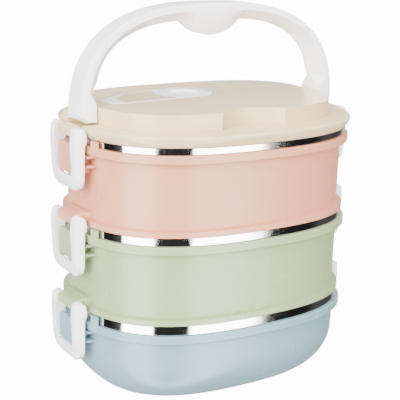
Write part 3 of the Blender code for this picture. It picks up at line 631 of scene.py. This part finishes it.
def vent_outline(grow):
    """The lever's plan: a round head and a straight-sided tail that leans to the front."""
    head = arc(HEAD_X, VENT_Y, HEAD_RADIUS, *HEAD_ARC, 10)
    return swell(head + list(VENT_TAIL), grow)


def island_outline(grow):
    """Fixed panel inside the lever's window: it follows the lever's edges and ends round the head."""
    neck = arc(HEAD_X, VENT_Y, HEAD_RADIUS + ISLAND_NECK, *ISLAND_ARC, 8)
    return swell(neck + list(VENT_ISLAND), grow)


def cover_blank():
    """Solid of revolution under the plateau: foot, flared skirt and rounded ledge."""
    rim = FOOT_INSET - SKIRT_FLARE
    return revolve_oval("lid_cover", [
        (FOOT_INSET + SKIRT_CHAMFER, LID_Z), (FOOT_INSET, LID_Z + SKIRT_CHAMFER),
        (rim + SKIRT_CHAMFER, LEDGE_Z - LEDGE_EDGE - SKIRT_CURL),
    ] + arc(rim + LEDGE_EDGE, LEDGE_Z - LEDGE_EDGE, LEDGE_EDGE, 180.0, 90.0, 3))


def raised_part():
    """The plateau with its thumb notch, bent ends and the trim that lets the handle fold flat."""
    low, high = LEDGE_Z - 3 * PAST, LID_TOP + 3 * PAST
    plateau = plateau_solid("plateau", 0.0, LEDGE_Z - PLATEAU_SINK, LID_TOP, rounded=True)
    cut(plateau, notch(0.0, low, high))
    for side in (1, -1):
        far = HALF_LENGTH + END_MARGIN
        bend = [(PLATEAU_END - back, y) for back, y in END_BEND]
        shape = [(x, -y) for x, y in reversed(bend)] + bend + [(far, END_HALF_WIDTH), (far, -END_HALF_WIDTH)]
        cut(plateau, prism("end", [(side * x, y) for x, y in shape], 2, low, high))
    return cut(plateau, prism("fold", folded_room(FOLD_CLEARANCE), 2, low, high))


def stop_post(side):
    """Post behind a foot of the handle, sloped on its outer side."""
    back = HANDLE_WIDTH / 2 + POST_GAP
    base, crest = LEDGE_Z - POST_SINK, LEDGE_Z + POST_HEIGHT
    outline = [(POST_IN, base), (POST_OUT, base), (POST_OUT, crest - POST_SLOPE),
               (POST_OUT - POST_SLOPE, crest), (POST_IN, crest)]
    post = prism("post", [(side * x, z) for x, z in outline], 1, back, back + POST_WIDTH)
    return soften(post, POST_EDGE, 5, 30.0)


def foot_pocket(side):
    """Cutter for the shallow seat of one foot of the handle."""
    return end_box("pocket", side, PLATEAU_END, HANDLE_HALF_LENGTH + POCKET_END_MARGIN,
                   -HANDLE_WIDTH / 2 - POCKET_FRONT_MARGIN, HANDLE_WIDTH / 2 + POCKET_MARGIN,
                   LEDGE_Z - POCKET_DEPTH, LEDGE_Z + 2 * PAST)


def cover_hollow():
    """Space inside the plateau, with bosses left for the vent's pocket and the handle's pins."""
    hollow = plateau_solid("hollow", PLATEAU_DRAFT + PLATEAU_SKIN, LID_Z + PAST, LID_TOP - PLATEAU_SKIN,
                           rounded=False)
    cut(hollow, notch(PLATEAU_SKIN, LID_Z, LID_TOP))
    cut(hollow, prism("fold", folded_room(FOLD_CLEARANCE + PLATEAU_SKIN), 2, LID_Z, LID_TOP))
    reach = HEAD_RADIUS + BOSS_MARGIN
    cut(hollow, box("vent_boss", VENT_HINGE_X - BOSS_END_MARGIN, HEAD_X + reach,
                    VENT_TAIL[2][1] - BOSS_FRONT_MARGIN, VENT_Y + reach, LEDGE_Z + CEILING_RISE, LID_TOP))
    for side in (1, -1):
        cut(hollow, end_box("pin_boss", side, HANDLE_PIN_IN - PIN_BOSS_DEPTH, HALF_LENGTH,
                            -HALF_WIDTH, HALF_WIDTH, LID_Z, LID_TOP))
    return hollow


def handle_pin_bore(side, x_in, x_out):
    """Room for one of the handle's pins between two distances from the middle."""
    low, high = sorted((side * x_in, side * x_out))
    return rod("bore", (HANDLE_AXIS_Y, LEDGE_Z + HANDLE_AXIS_RISE), HANDLE_PIN_RADIUS + GAP, 0, low, high)


def cut_vent_pocket(cover):
    """Let the lever's pocket, its hub's room, the pin's bore and the plug's seat into the cover."""
    bed = LID_TOP - VENT_THICKNESS - GAP
    recess = prism("recess", vent_outline(VENT_GAP), 2, bed, LID_TOP + 2 * PAST)
    cut(recess, prism("island", island_outline(0.0), 2, bed - PAST, LID_TOP + 3 * PAST))
    cut(cover, recess)
    hinge_z = LID_TOP - VENT_HINGE_DROP
    room = prism("hub_room", vent_outline(VENT_GAP + HUB_ROOM_SIDE), 2,
                 hinge_z - VENT_HUB_RADIUS - HUB_ROOM_BELOW, LID_TOP - HUB_ROOM_ROOF)
    tail_end = box("side", -HALF_LENGTH, VENT_HINGE_X + VENT_HUB_RADIUS + HUB_ROOM_END,
                   -HALF_WIDTH, HALF_WIDTH, LEDGE_Z, LID_TOP + PAST)
    cut(cover, combine(room, tail_end, "INTERSECT"))
    reach = VENT_PIN_LENGTH / 2 + GAP
    cut(cover, rod("pin_bore", (VENT_HINGE_X, hinge_z), VENT_PIN_RADIUS + GAP, 1,
                   VENT_HINGE_Y - reach, VENT_HINGE_Y + reach))
    head = (HEAD_X, VENT_Y)
    cut(cover, rod("plug_room", head, PLUG_RADIUS + VENT_GAP, 2, bed - PLUG_HEIGHT - GAP, LID_TOP, 16))
    cut(cover, rod("vent_hole", head, VENT_HOLE_RADIUS, 2, LID_Z, LID_TOP))


def make_cover():
    """The lid's moulded cover: blank, plateau, ears, posts and pockets, then all that is cut away inside."""
    cover = join(cover_blank(), raised_part())
    for side in (1, -1):
        join(cover, ear(side, LID_Z, SKIRT_HEIGHT - EAR_DROP, EAR_BROW), stop_post(side))
        cut(cover, foot_pocket(side))
    well = FOOT_INSET + SKIRT_WALL
    cut(cover, revolve_oval("well", [(well, LID_Z - 3 * PAST), (well, LID_Z + LINER_THICKNESS + GAP)]))
    cut(cover, cover_hollow())
    for side in (1, -1):
        cut(cover, ear_bore(side, LID_Z))
        cut(cover, handle_pin_bore(side, HANDLE_PIN_IN - GAP, PLATEAU_END + PAST))
    cut_vent_pocket(cover)
    return cover


def make_liner():
    """Plate that closes the lid from below, with a groove for the seal's tongue and the vent's hole."""
    inset = FOOT_INSET + SKIRT_WALL + GAP
    low, high = LID_Z, LID_Z + LINER_THICKNESS
    tongue_in = TONGUE_INSET + TONGUE_WIDTH + GAP
    tongue_out = TONGUE_INSET - GAP
    tongue_top = low + TONGUE_HEIGHT + GAP
    liner = revolve_oval("lid_liner", [
        (tongue_in, low), (tongue_in, tongue_top), (tongue_out, tongue_top), (tongue_out, low),
        (inset, low), (inset, high),
    ])
    return cut(liner, rod("hole", (HEAD_X, VENT_Y), LINER_HOLE_RADIUS, 2, low - 2 * PAST, high + 2 * PAST))


def make_lever():
    """The vent's lever: a flat plate with a window, a hub round its pin and a dimple in its head."""
    top = LID_TOP
    low = top - VENT_THICKNESS
    lever = soften(prism("vent_lever", vent_outline(0.0), 2, low, top), VENT_EDGE, 2, 60.0)
    cut(lever, prism("window", island_outline(VENT_GAP), 2, low - 2 * PAST, top + 2 * PAST))
    hinge = (VENT_HINGE_X, top - VENT_HINGE_DROP)
    hub = rod("hub", hinge, VENT_HUB_RADIUS, 1, VENT_HINGE_Y - VENT_HUB_HALF, VENT_HINGE_Y + VENT_HUB_HALF)
    reach = VENT_HUB_RADIUS + PAST
    cut(hub, box("trim", VENT_HINGE_X - reach, VENT_HINGE_X + reach, -HALF_WIDTH, HALF_WIDTH,
                 top - VENT_HUB_TRIM, top + PAST))
    join(lever, hub)
    cut(lever, rod("bore", hinge, VENT_PIN_RADIUS + GAP, 1, -HALF_WIDTH, HALF_WIDTH))
    dimple = loft("dimple", [
        [(x, y, z) for x, y in arc(HEAD_X, VENT_Y, radius, 0.0, 360.0, 20)[:-1]]
        for radius, z in ((DIMPLE_FLOOR_RADIUS, top - DIMPLE_DEPTH), (DIMPLE_MOUTH_RADIUS, top + DIMPLE_RISE))
    ])
    return cut(lever, dimple)


def handle_station(s):
    """Outer and ridge points of the handle's half arch for one sine of the outline angle."""
    c = math.sqrt(max(0.0, 1.0 - s * s))
    outer = (HANDLE_HALF_LENGTH * c ** (2 / HANDLE_POWER), HANDLE_RISE * s ** (2 / HANDLE_POWER))
    ridge = (RIDGE_HALF_LENGTH * c ** (2 / RIDGE_POWER), RIDGE_RISE * s ** (2 / RIDGE_POWER))
    return outer, ridge


def sine_at_rise(rise):
    """Sine of the outline angle at which the handle's outer edge reaches a rise above the ledge."""
    return (rise / HANDLE_RISE) ** (HANDLE_POWER / 2)


def sine_at_reach(x):
    """Sine of the outline angle at which the handle's outer edge is a distance from the middle."""
    c = (x / HANDLE_HALF_LENGTH) ** (HANDLE_POWER / 2)
    return math.sqrt(1.0 - c * c)


def ease(t):
    """Smooth step from 0 to 1."""
    t = min(1.0, max(0.0, t))
    return t * t * (3.0 - 2.0 * t)


def leg_values(rise, ridge_x):
    """Outer point, ridge point, half width, flank and tip of a leg's section at one rise."""
    half = HANDLE_WIDTH / 2
    outer_x = HANDLE_HALF_LENGTH * (1 - (rise / HANDLE_RISE) ** HANDLE_POWER) ** (1 / HANDLE_POWER)
    above = rise - HANDLE_FOOT_TOP
    foot_depth = outer_x - (PLATEAU_END + FOOT_GAP)
    arch_depth = outer_x - ridge_x
    depth = foot_depth + (arch_depth - foot_depth) * ease((above - RIDGE_BLEND_START) / RIDGE_BLEND)
    flank = 1.0 + (FLANK - 1.0) * ease(above / FLANK_BLEND)
    tip = half - FOOT_TIP_INSET + (RIDGE_TIP + FOOT_TIP_INSET - half) * ease(above / TIP_BLEND)
    start = rise - HANDLE_FOOT_GAP
    if start < FOOT_ROUND:
        half -= FOOT_ROUND - math.sqrt(max(0.0, FOOT_ROUND ** 2 - (FOOT_ROUND - start) ** 2))
        tip = min(tip, half - FOOT_TIP_MARGIN)
    return (outer_x, rise), (outer_x - depth, rise), half, flank, tip


def grip_values(outer):
    """Ridge point, flank and tip of a section in the grip, whose ridge follows an arc."""
    centre = RIDGE_RISE + math.sqrt(GRIP_RADIUS ** 2 - GRIP_HALF_WIDTH ** 2)
    low = centre - math.sqrt(GRIP_RADIUS ** 2 - outer[0] ** 2)
    growth = ease((GRIP_HALF_WIDTH - outer[0]) / GRIP_BLEND)
    flank = FLANK * (HANDLE_RISE - RIDGE_RISE) / (outer[1] - low) + GRIP_FLANK_GROWTH * growth
    return (outer[0], low), flank, GRIP_TIP + GRIP_TIP_GROWTH * growth


def handle_section(s, rise=None):
    """Points of one cross-section: a crowned back, two flanks and a ridge on the inner side."""
    outer, ridge = handle_station(s)
    half, flank, tip = HANDLE_WIDTH / 2, FLANK, RIDGE_TIP
    if rise is not None:
        outer, ridge, half, flank, tip = leg_values(rise, ridge[0])
    elif outer[0] < GRIP_HALF_WIDTH + TOLERANCE:
        ridge, flank, tip = grip_values(outer)
    right = [(half * width, depth) for width, depth in CROWN] + [(half, flank), (tip, 1.0)]
    left = [(-y, depth) for y, depth in reversed(right[1:])]
    points = []
    for y, depth in right + left:
        x = outer[0] + (ridge[0] - outer[0]) * depth
        z = outer[1] + (ridge[1] - outer[1]) * depth
        points.append((x, y, LEDGE_Z + z))
    return points


def handle_rings():
    """Cross-sections of one half of the handle, from its foot to the middle of the grip."""
    legs = [HANDLE_FOOT_GAP + rise for rise in FOOT_RISES]
    legs += [HANDLE_FOOT_TOP + LEG_STEP * i for i in range(LEG_STEPS)]
    rings = [handle_section(sine_at_rise(rise), rise) for rise in legs]
    start = math.degrees(math.asin(sine_at_rise(legs[-1] + BEND_START_STEP)))
    stop = math.degrees(math.asin(sine_at_reach(BEND_END)))
    for i in range(BEND_STEPS + 1):
        rings.append(handle_section(math.sin(math.radians(start + (stop - start) * i / BEND_STEPS))))
    reaches = [SHOULDER_START - SHOULDER_STEP * i for i in range(SHOULDER_STEPS)]
    reaches.append(GRIP_HALF_WIDTH + GRIP_START_MARGIN)
    reaches += [GRIP_HALF_WIDTH - i for i in range(int(GRIP_HALF_WIDTH) + 1)]
    return rings + [handle_section(sine_at_reach(x)) for x in reaches]


def folded_room(margin):
    """Plan of the space that the handle takes round the front of the plateau once it lies flat."""
    tip_index = len(CROWN) + 1
    edge = []
    for ring in handle_rings():
        x, rise = ring[tip_index][0], ring[tip_index][2] - LEDGE_Z
        if rise >= HANDLE_FOOT_TOP and x > GRIP_HALF_WIDTH:
            edge.append((x, HANDLE_AXIS_Y + HANDLE_AXIS_RISE - rise))
    far, front, start = HALF_LENGTH + END_MARGIN, -HALF_WIDTH - END_MARGIN, edge[0][1]
    corners = [(-far, start), (-far, front), (far, front), (far, start)]
    return swell(edge + [(-x, y) for x, y in reversed(edge)] + corners, margin)


def foot_step(side):
    """Cutter under one foot of the handle: it is higher at the front, where the handle folds."""
    front, back = -HANDLE_WIDTH / 2 - PAST, HANDLE_WIDTH / 2 + PAST
    rise = LEDGE_Z + HANDLE_FOOT_GAP
    outline = [(front, rise - 3 * PAST), (back, rise - 3 * PAST), (back, rise + FOOT_BACK_STEP),
               (front, rise + HANDLE_FOOT_STEP + PAST)]
    ends = (side * (HANDLE_HALF_LENGTH - FOOT_STEP_DEPTH), side * (HANDLE_HALF_LENGTH + 3 * PAST))
    return prism("step", outline, 0, min(ends), max(ends))


def make_handle():
    """The carry handle: an arch with a ridge on its inner side, stepped feet and two pin bores."""
    half = handle_rings()
    other = [[(-x, y, z) for x, y, z in ring] for ring in reversed(half[:-1])]
    handle = loft("carry_handle", half + other)
    for side in (1, -1):
        cut(handle, foot_step(side), handle_pin_bore(side, PLATEAU_END - PAST, HANDLE_PIN_OUT + GAP))
    return handle


def latch_profile():
    """Side view of a latch about its pivot: x outwards, z up."""
    end = -LATCH_LENGTH
    top = arc(0.0, 0.0, LATCH_EYE_RADIUS, 165.0, 20.0, 4)
    chin = [(3.9, -3.0), (3.9, -8.0), (3.5, -15.0), (3.0, -23.0), (2.2, end + 3.5), (1.2, end)]
    rear = [(-0.9, end), (-2.4, end + 2.2), (-2.7, -7.0), (-3.9, -4.8), (-3.9, -2.0), (-3.5, 0.0)]
    return top + chin + rear


def round_corners(half, low, radius, steps):
    """Lower left and lower right corner of a plate, as arcs."""
    return (arc(-half + radius, low + radius, radius, 180.0, 270.0, steps)
            + arc(half - radius, low + radius, radius, 270.0, 360.0, steps))


def make_latch():
    """One bail, standing for the right end with its pivot at the origin."""
    half, beyond = LATCH_HALF_WIDTH, LATCH_BEYOND
    end = -LATCH_LENGTH
    bail = prism("latch", latch_profile(), 1, -half - PAST, half + PAST)
    outline = [(half, LATCH_BLANK_TOP), (-half, LATCH_BLANK_TOP)]
    outline += round_corners(half, end, LATCH_CORNER, 3)
    combine(bail, prism("outline", outline, 0, LATCH_BLANK_BACK, LATCH_BLANK_FACE), "INTERSECT")
    soften(bail, LATCH_EDGE, 4, 40.0)

    inner = half - LATCH_ARM
    low, hook = end - 3 * PAST, end + LATCH_HOOK
    slot = [(-beyond, beyond), (-beyond, low), (LATCH_SLOT_BACK, low), (LATCH_SLOT_BACK, hook),
            (LATCH_SLOT_FACE, hook), (LATCH_SLOT_FACE, beyond)]
    window = [(inner, beyond), (-inner, beyond)]
    window += round_corners(inner, end + LATCH_BAR, LATCH_WINDOW_CORNER, 2)
    pin_reach = LATCH_PIN_LENGTH / 2 + GAP
    return cut(bail, prism("slot", slot, 1, -inner, inner),
               prism("window", window, 0, LATCH_WINDOW_BACK, beyond),
               rod("bore", (0.0, 0.0), LATCH_PIN_RADIUS + GAP, 1, -pin_reach, pin_reach))


def turned_copy(source, side, spot):
    """Copy a piece to a pivot; the left end's is turned half round."""
    copy = bpy.data.objects.new("copy", source.data.copy())
    bpy.context.scene.collection.objects.link(copy)
    turn = Matrix.Rotation(0.0 if side > 0 else math.pi, 4, "Z")
    copy.data.transform(Matrix.Translation(Vector(spot)) @ turn)
    return copy


BODY_OF = {member: body
           for body, members in frame["record"]["behaviour"]["bodies"].items() for member in members}
SLOT_OF = {entry["node"]: entry["material_slot"] for entry in frame["record"]["subparts"]}


def principled(name, colour, roughness, metallic=0.0, subsurface=0.0, ior=1.5):
    """Material with one shader, and that shader."""
    material = bpy.data.materials.new(name)
    material.use_nodes = True
    shader = material.node_tree.nodes["Principled BSDF"]
    shader.inputs["Base Color"].default_value = (*colour, 1.0)
    shader.inputs["Roughness"].default_value = roughness
    shader.inputs["Metallic"].default_value = metallic
    shader.inputs["IOR"].default_value = ior
    shader.inputs["Subsurface Weight"].default_value = subsurface
    shader.inputs["Subsurface Radius"].default_value = (0.004, 0.003, 0.0025)
    return material, shader


def add(tree, kind, **values):
    """New node with some of its settings."""
    node = tree.nodes.new(kind)
    for key, value in values.items():
        setattr(node, key, value)
    return node


def object_space(tree):
    """Coordinates that stay with the piece."""
    return add(tree, "ShaderNodeTexCoord").outputs["Object"]


def noise(tree, coords, scale, detail, rough=0.5):
    """Noise of a size, a number of octaves and their roughness."""
    node = add(tree, "ShaderNodeTexNoise")
    node.inputs["Scale"].default_value = scale
    node.inputs["Detail"].default_value = detail
    node.inputs["Roughness"].default_value = rough
    tree.links.new(coords, node.inputs["Vector"])
    return node.outputs["Fac"]


def grey(v):
    return (v, v, v, 1.0)


def stops(tree, value, marks):
    """Ramp with a colour at each place along it."""
    node = add(tree, "ShaderNodeValToRGB")
    elements = node.color_ramp.elements
    elements[0].position, elements[0].color = marks[0]
    elements[1].position, elements[1].color = marks[-1]
    for place, colour in marks[1:-1]:
        elements.new(place).color = colour
    tree.links.new(value, node.inputs["Fac"])
    return node.outputs["Color"]


def spread(tree, value, low, high):
    """Ramp between two colours over the range that most of a noise falls in."""
    return stops(tree, value, [(0.35, low), (0.65, high)])


def bump(tree, height, strength, distance, under=None):
    """Normal of a relief, laid over another normal where one is given."""
    node = add(tree, "ShaderNodeBump")
    node.inputs["Strength"].default_value = strength
    node.inputs["Distance"].default_value = distance
    tree.links.new(height, node.inputs["Height"])
    if under is not None:
        tree.links.new(under, node.inputs["Normal"])
    return node.outputs["Normal"]


def moulded_plastic(name, colour, roughness, relief=1.0):
    """Satin injection-moulded plastic: faint mottling, a fine spark-eroded grain and uneven gloss."""
    def tinted(factor):
        return tuple(min(1.0, c * factor) for c in colour) + (1.0,)

    material, shader = principled(name, colour, roughness, subsurface=0.04, ior=1.42)
    tree = material.node_tree
    coords = object_space(tree)
    mottling = noise(tree, coords, scale=22.0, detail=2.0)
    tree.links.new(spread(tree, mottling, tinted(0.985), tinted(1.012)), shader.inputs["Base Color"])
    gloss = noise(tree, coords, scale=60.0, detail=4.0, rough=0.6)
    tree.links.new(spread(tree, gloss, grey(roughness - 0.03), grey(roughness + 0.04)),
                   shader.inputs["Roughness"])
    grain = noise(tree, coords, scale=2600.0, detail=2.0)
    flow = noise(tree, coords, scale=38.0, detail=2.0)
    grained = bump(tree, grain, strength=0.10 * relief, distance=0.00012)
    waved = bump(tree, flow, strength=0.05 * relief, distance=0.0008, under=grained)
    tree.links.new(waved, shader.inputs["Normal"])
    return material


def polished_steel(name):
    """Mirror-polished stainless steel with the faint waviness and hairlines of a pressed sheet."""
    material, shader = principled(name, (0.78, 0.775, 0.765), 0.07, metallic=1.0)
    tree = material.node_tree
    coords = object_space(tree)
    smear = noise(tree, coords, scale=45.0, detail=5.0, rough=0.65)
    tree.links.new(spread(tree, smear, grey(0.045), grey(0.12)), shader.inputs["Roughness"])
    stretch = add(tree, "ShaderNodeMapping")
    stretch.inputs["Scale"].default_value = (1.0, 1.0, 26.0)
    tree.links.new(coords, stretch.inputs["Vector"])
    hairlines = noise(tree, stretch.outputs["Vector"], scale=120.0, detail=6.0, rough=0.7)
    flow = noise(tree, coords, scale=30.0, detail=1.0)
    brushed = bump(tree, hairlines, strength=0.05, distance=0.0001)
    waved = bump(tree, flow, strength=0.12, distance=0.001, under=brushed)
    tree.links.new(waved, shader.inputs["Normal"])
    return material


def turned_steel(name):
    """Plain pin steel with turning marks in its gloss."""
    material, shader = principled(name, (0.60, 0.60, 0.61), 0.28, metallic=1.0)
    tree = material.node_tree
    marks = noise(tree, object_space(tree), scale=900.0, detail=3.0)
    tree.links.new(spread(tree, marks, grey(0.22), grey(0.36)), shader.inputs["Roughness"])
    return material


def silicone(name):
    """Soft white rubber, a little dusty."""
    material, shader = principled(name, (0.84, 0.84, 0.82), 0.5, subsurface=0.35)
    tree = material.node_tree
    dust = noise(tree, object_space(tree), scale=300.0, detail=4.0)
    tree.links.new(spread(tree, dust, (0.80, 0.80, 0.78, 1.0), (0.87, 0.87, 0.85, 1.0)),
                   shader.inputs["Base Color"])
    tree.links.new(spread(tree, dust, grey(0.44), grey(0.6)), shader.inputs["Roughness"])
    return material


LOOKS = {
    "cream_plastic": moulded_plastic("cream", (0.680, 0.508, 0.285), 0.22),
    "pink_plastic": moulded_plastic("pink", (0.600, 0.262, 0.150), 0.24),
    "green_plastic": moulded_plastic("green", (0.285, 0.362, 0.180), 0.24),
    "blue_plastic": moulded_plastic("blue", (0.180, 0.295, 0.325), 0.24),
    "white_plastic": moulded_plastic("white", (0.900, 0.870, 0.890), 0.25, relief=0.6),
    "mirror_steel": polished_steel("steel"),
    "pin_steel": turned_steel("pin"),
    "silicone": silicone("silicone"),
}


def finish_piece(obj, node):
    """Take a finished shape to metres, dress it and let it stand for its CAD node."""
    look_name = SLOT_OF[node]
    obj.name = "fine_" + node
    obj.data.name = obj.name
    obj.data.transform(Matrix.Diagonal((MM, MM, MM, 1.0)))
    obj.data.shade_smooth()
    obj.data.set_sharp_from_angle(angle=math.radians(SHARP_ANGLE))
    obj.data.materials.clear()
    obj.data.materials.append(LOOKS[look_name])
    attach(obj, BODY_OF[node])
    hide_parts(node)


def finish_tubs():
    """Shells, bowls and seals of the base and the two tiers on it."""
    finish_piece(make_base(), "blue_shell")
    finish_piece(revolve_oval("bowl", base_bowl_profile(0.0, BASE_HEIGHT, BASE_RIM)), "blue_bowl")
    for colour, low, high, rim, seat in (
        ("green", GREEN_Z, GREEN_TOP, GREEN_RIM, BASE_HEIGHT),
        ("pink", PINK_Z, PINK_TOP, PINK_RIM, GREEN_TOP),
    ):
        finish_piece(make_tier(colour, low, high, rim), colour + "_shell")
        finish_piece(revolve_oval("bowl", bowl_profile(low, high, rim)), colour + "_bowl")
        finish_piece(revolve_oval("seal", seal_profile(seat, low), True), colour + "_seal")


def finish_lid():
    """Everything on the lid but its pins and the plug."""
    finish_piece(make_cover(), "lid_cover")
    finish_piece(make_liner(), "lid_liner")
    finish_piece(revolve_oval("seal", seal_profile(PINK_TOP, LID_Z), True), "lid_seal")
    finish_piece(make_handle(), "carry_handle")
    finish_piece(make_lever(), "vent_lever")


def finish_latches():
    """Six copies of one latch, on three carriers."""
    latch = make_latch()
    for carrier, low in (("lid", LID_Z), ("pink", PINK_Z), ("green", GREEN_Z)):
        for side, hand in ((1, "right"), (-1, "left")):
            spot = (side * LATCH_PIVOT_X, 0.0, low + LATCH_PIVOT_RISE)
            finish_piece(turned_copy(latch, side, spot), carrier + "_latch_" + hand)
    bpy.data.objects.remove(latch, do_unlink=True)


def dress_nodes():
    """Give every CAD node the look of its slot; the pins and the plug keep their CAD shapes."""
    for node, obj in frame["nodes"].items():
        look = LOOKS[SLOT_OF[node]]
        if not obj.data.materials:
            obj.data.materials.append(look)
        for index in range(len(obj.material_slots)):
            obj.material_slots[index].material = look


# Brightness of the studio, and the floor's size in metres. The ramps hold shares of RAMP_TOP, because their
# colours end at 1.
RAMP_TOP = 20.0
LOW_BOX = 15.0
HIGH_BOX = 20.0
TOP_BOX = 6.0
AMBIENT = 0.6
BACKDROP_GLOW = 13.0
FLOOR_GLOW = 0.3
FLOOR_HALF = 3.0
FLOOR_Z = -0.0004

# Brightness by bearing, in degrees round from the right end: the soft boxes below and above the horizon,
# and the dim room between them
LOW_BOX_BEARINGS = [(-180, 0), (-175.5, 0), (-174, 1), (-131.5, 1), (-130.5, 0), (-93.5, 0), (-92.5, 1),
                    (-56.5, 1), (-55.5, 0), (180, 0)]
HIGH_BOX_BEARINGS = [(-180, 0), (-175.5, 0), (-174, 1), (-131.5, 1), (-130.5, 0.06), (-93.5, 0.06),
                     (-92.5, 0.5), (-56.5, 0.5), (-55.5, 0), (180, 0)]
ROOM_BEARINGS = [(-180, 0.105), (-172, 0.10), (-130, 0.036), (-94, 0.036), (-55, 0.02), (-30, 0.018),
                 (-20, 0.08), (5, 0.08), (16, 0.12), (30, 0.9), (60, 1.0), (120, 1.0), (140, 0.5),
                 (147, 0.02), (168, 0.025), (180, 0.105)]

# Brightness by height, where -1 is straight down, 0 the horizon and 1 straight up
HORIZON = 0.02


def sine(degrees):
    return math.sin(math.radians(degrees))


LOW_BOX_HEIGHTS = [(-1, LOW_BOX / RAMP_TOP), (-HORIZON, LOW_BOX / RAMP_TOP), (HORIZON, 0), (1, 0)]
HIGH_BOX_HEIGHTS = [(-1, 0), (-HORIZON, 0), (HORIZON, HIGH_BOX / RAMP_TOP), (sine(38), HIGH_BOX / RAMP_TOP),
                    (sine(46), 0), (1, 0)]
SKY_HEIGHTS = [(-1, 0), (0, 0), (0.12, AMBIENT / RAMP_TOP), (sine(50), AMBIENT / RAMP_TOP),
               (sine(66), TOP_BOX / RAMP_TOP), (1, TOP_BOX / RAMP_TOP)]
ROOM_HEIGHTS = [(-1, 1), (0, 1), (0.12, 0.35), (0.5, 0)]


def scalar(tree, operation, first, second=0.0):
    """One step of arithmetic on numbers or outputs."""
    node = add(tree, "ShaderNodeMath", operation=operation)
    for socket, value in zip(node.inputs, (first, second)):
        if isinstance(value, (int, float)):
            socket.default_value = value
        else:
            tree.links.new(value, socket)
    return node.outputs["Value"]


def camera_ray(tree):
    """1 for what the camera sees itself, 0 for light and reflections."""
    return add(tree, "ShaderNodeLightPath").outputs["Is Camera Ray"]


def make_floor():
    """Pale card under the object, which glows to the camera like the ground of the photograph."""
    material, shader = principled("floor", (0.40, 0.40, 0.40), 0.9)
    tree = material.node_tree
    glow = add(tree, "ShaderNodeMapRange")
    glow.inputs["To Min"].default_value = FLOOR_GLOW
    glow.inputs["To Max"].default_value = BACKDROP_GLOW
    tree.links.new(camera_ray(tree), glow.inputs["Value"])
    tree.links.new(glow.outputs["Result"], shader.inputs["Emission Strength"])
    shader.inputs["Emission Color"].default_value = grey(1.0)

    mesh = bpy.data.meshes.new("floor")
    corners = [(x * FLOOR_HALF, y * FLOOR_HALF, FLOOR_Z) for x, y in ((-1, -1), (1, -1), (1, 1), (-1, 1))]
    mesh.from_pydata(corners, [], [(0, 1, 2, 3)])
    mesh.materials.append(material)
    floor = bpy.data.objects.new("floor", mesh)
    bpy.context.scene.collection.objects.link(floor)
    floor.visible_glossy = False


def make_studio():
    """White soft boxes left and right of the camera, a dim gap between them and a weak light from above.

    The steel bands mirror all of it, so it is built from the direction alone, with no lamp. To the camera
    the world is an even white.
    """
    world = bpy.data.worlds.new("studio")
    bpy.context.scene.world = world
    world.use_nodes = True
    tree = world.node_tree
    split = add(tree, "ShaderNodeSeparateXYZ")
    tree.links.new(add(tree, "ShaderNodeTexCoord").outputs["Generated"], split.inputs["Vector"])
    around = scalar(tree, "ARCTAN2", split.outputs["Y"], split.outputs["X"])
    turn_share = scalar(tree, "ADD", scalar(tree, "DIVIDE", around, 2.0 * math.pi), 0.5)
    height_share = scalar(tree, "ADD", scalar(tree, "MULTIPLY", split.outputs["Z"], 0.5), 0.5)

    def by_bearing(marks):
        return stops(tree, turn_share, [((degrees + 180.0) / 360.0, grey(level)) for degrees, level in marks])

    def by_height(marks):
        return stops(tree, height_share, [(0.5 + 0.5 * height, grey(level)) for height, level in marks])

    low_boxes = scalar(tree, "MULTIPLY", by_bearing(LOW_BOX_BEARINGS), by_height(LOW_BOX_HEIGHTS))
    high_boxes = scalar(tree, "MULTIPLY", by_bearing(HIGH_BOX_BEARINGS), by_height(HIGH_BOX_HEIGHTS))
    room = scalar(tree, "MULTIPLY", by_bearing(ROOM_BEARINGS), by_height(ROOM_HEIGHTS))
    boxes = scalar(tree, "MULTIPLY", scalar(tree, "ADD", low_boxes, high_boxes), RAMP_TOP)
    sky = scalar(tree, "MULTIPLY", by_height(SKY_HEIGHTS), RAMP_TOP)
    total = scalar(tree, "ADD", boxes, scalar(tree, "ADD", sky, room))

    seen = camera_ray(tree)
    unseen = scalar(tree, "MULTIPLY", total, scalar(tree, "SUBTRACT", 1.0, seen))
    shown = scalar(tree, "MULTIPLY", seen, BACKDROP_GLOW)
    background = tree.nodes["Background"]
    background.inputs["Color"].default_value = grey(1.0)
    tree.links.new(scalar(tree, "ADD", unseen, shown), background.inputs["Strength"])


# Camera, fitted to the photograph: place in metres, angles in degrees, focal length in pixels
CAMERA_AT = (-0.3526, -0.5732, 0.2874)
CAMERA_YAW = 31.41
CAMERA_PITCH = 14.86
CAMERA_ROLL = 1.435
FOCAL_PIXELS = 1122.4
FRAME_PIXELS = 400.0
SENSOR_WIDTH = 36.0


def place_camera():
    """Camera at the photographer's place."""
    yaw, pitch, roll = (math.radians(angle) for angle in (CAMERA_YAW, CAMERA_PITCH, CAMERA_ROLL))
    forward = Vector((math.sin(yaw) * math.cos(pitch), math.cos(yaw) * math.cos(pitch), -math.sin(pitch)))
    level = Vector((math.cos(yaw), -math.sin(yaw), 0.0))
    upright = level.cross(forward)
    right = math.cos(roll) * level + math.sin(roll) * upright
    up = math.cos(roll) * upright - math.sin(roll) * level
    data = bpy.data.cameras.new("camera")
    data.sensor_width = SENSOR_WIDTH
    data.lens = FOCAL_PIXELS * SENSOR_WIDTH / FRAME_PIXELS
    data.clip_end = 20.0
    camera = bpy.data.objects.new("camera", data)
    bpy.context.scene.collection.objects.link(camera)
    turn = Matrix((right, up, -forward)).transposed()
    camera.matrix_world = Matrix.Translation(CAMERA_AT) @ turn.to_4x4()
    bpy.context.scene.camera = camera


finish_tubs()
finish_lid()
finish_latches()
dress_nodes()
make_floor()
make_studio()
place_camera()
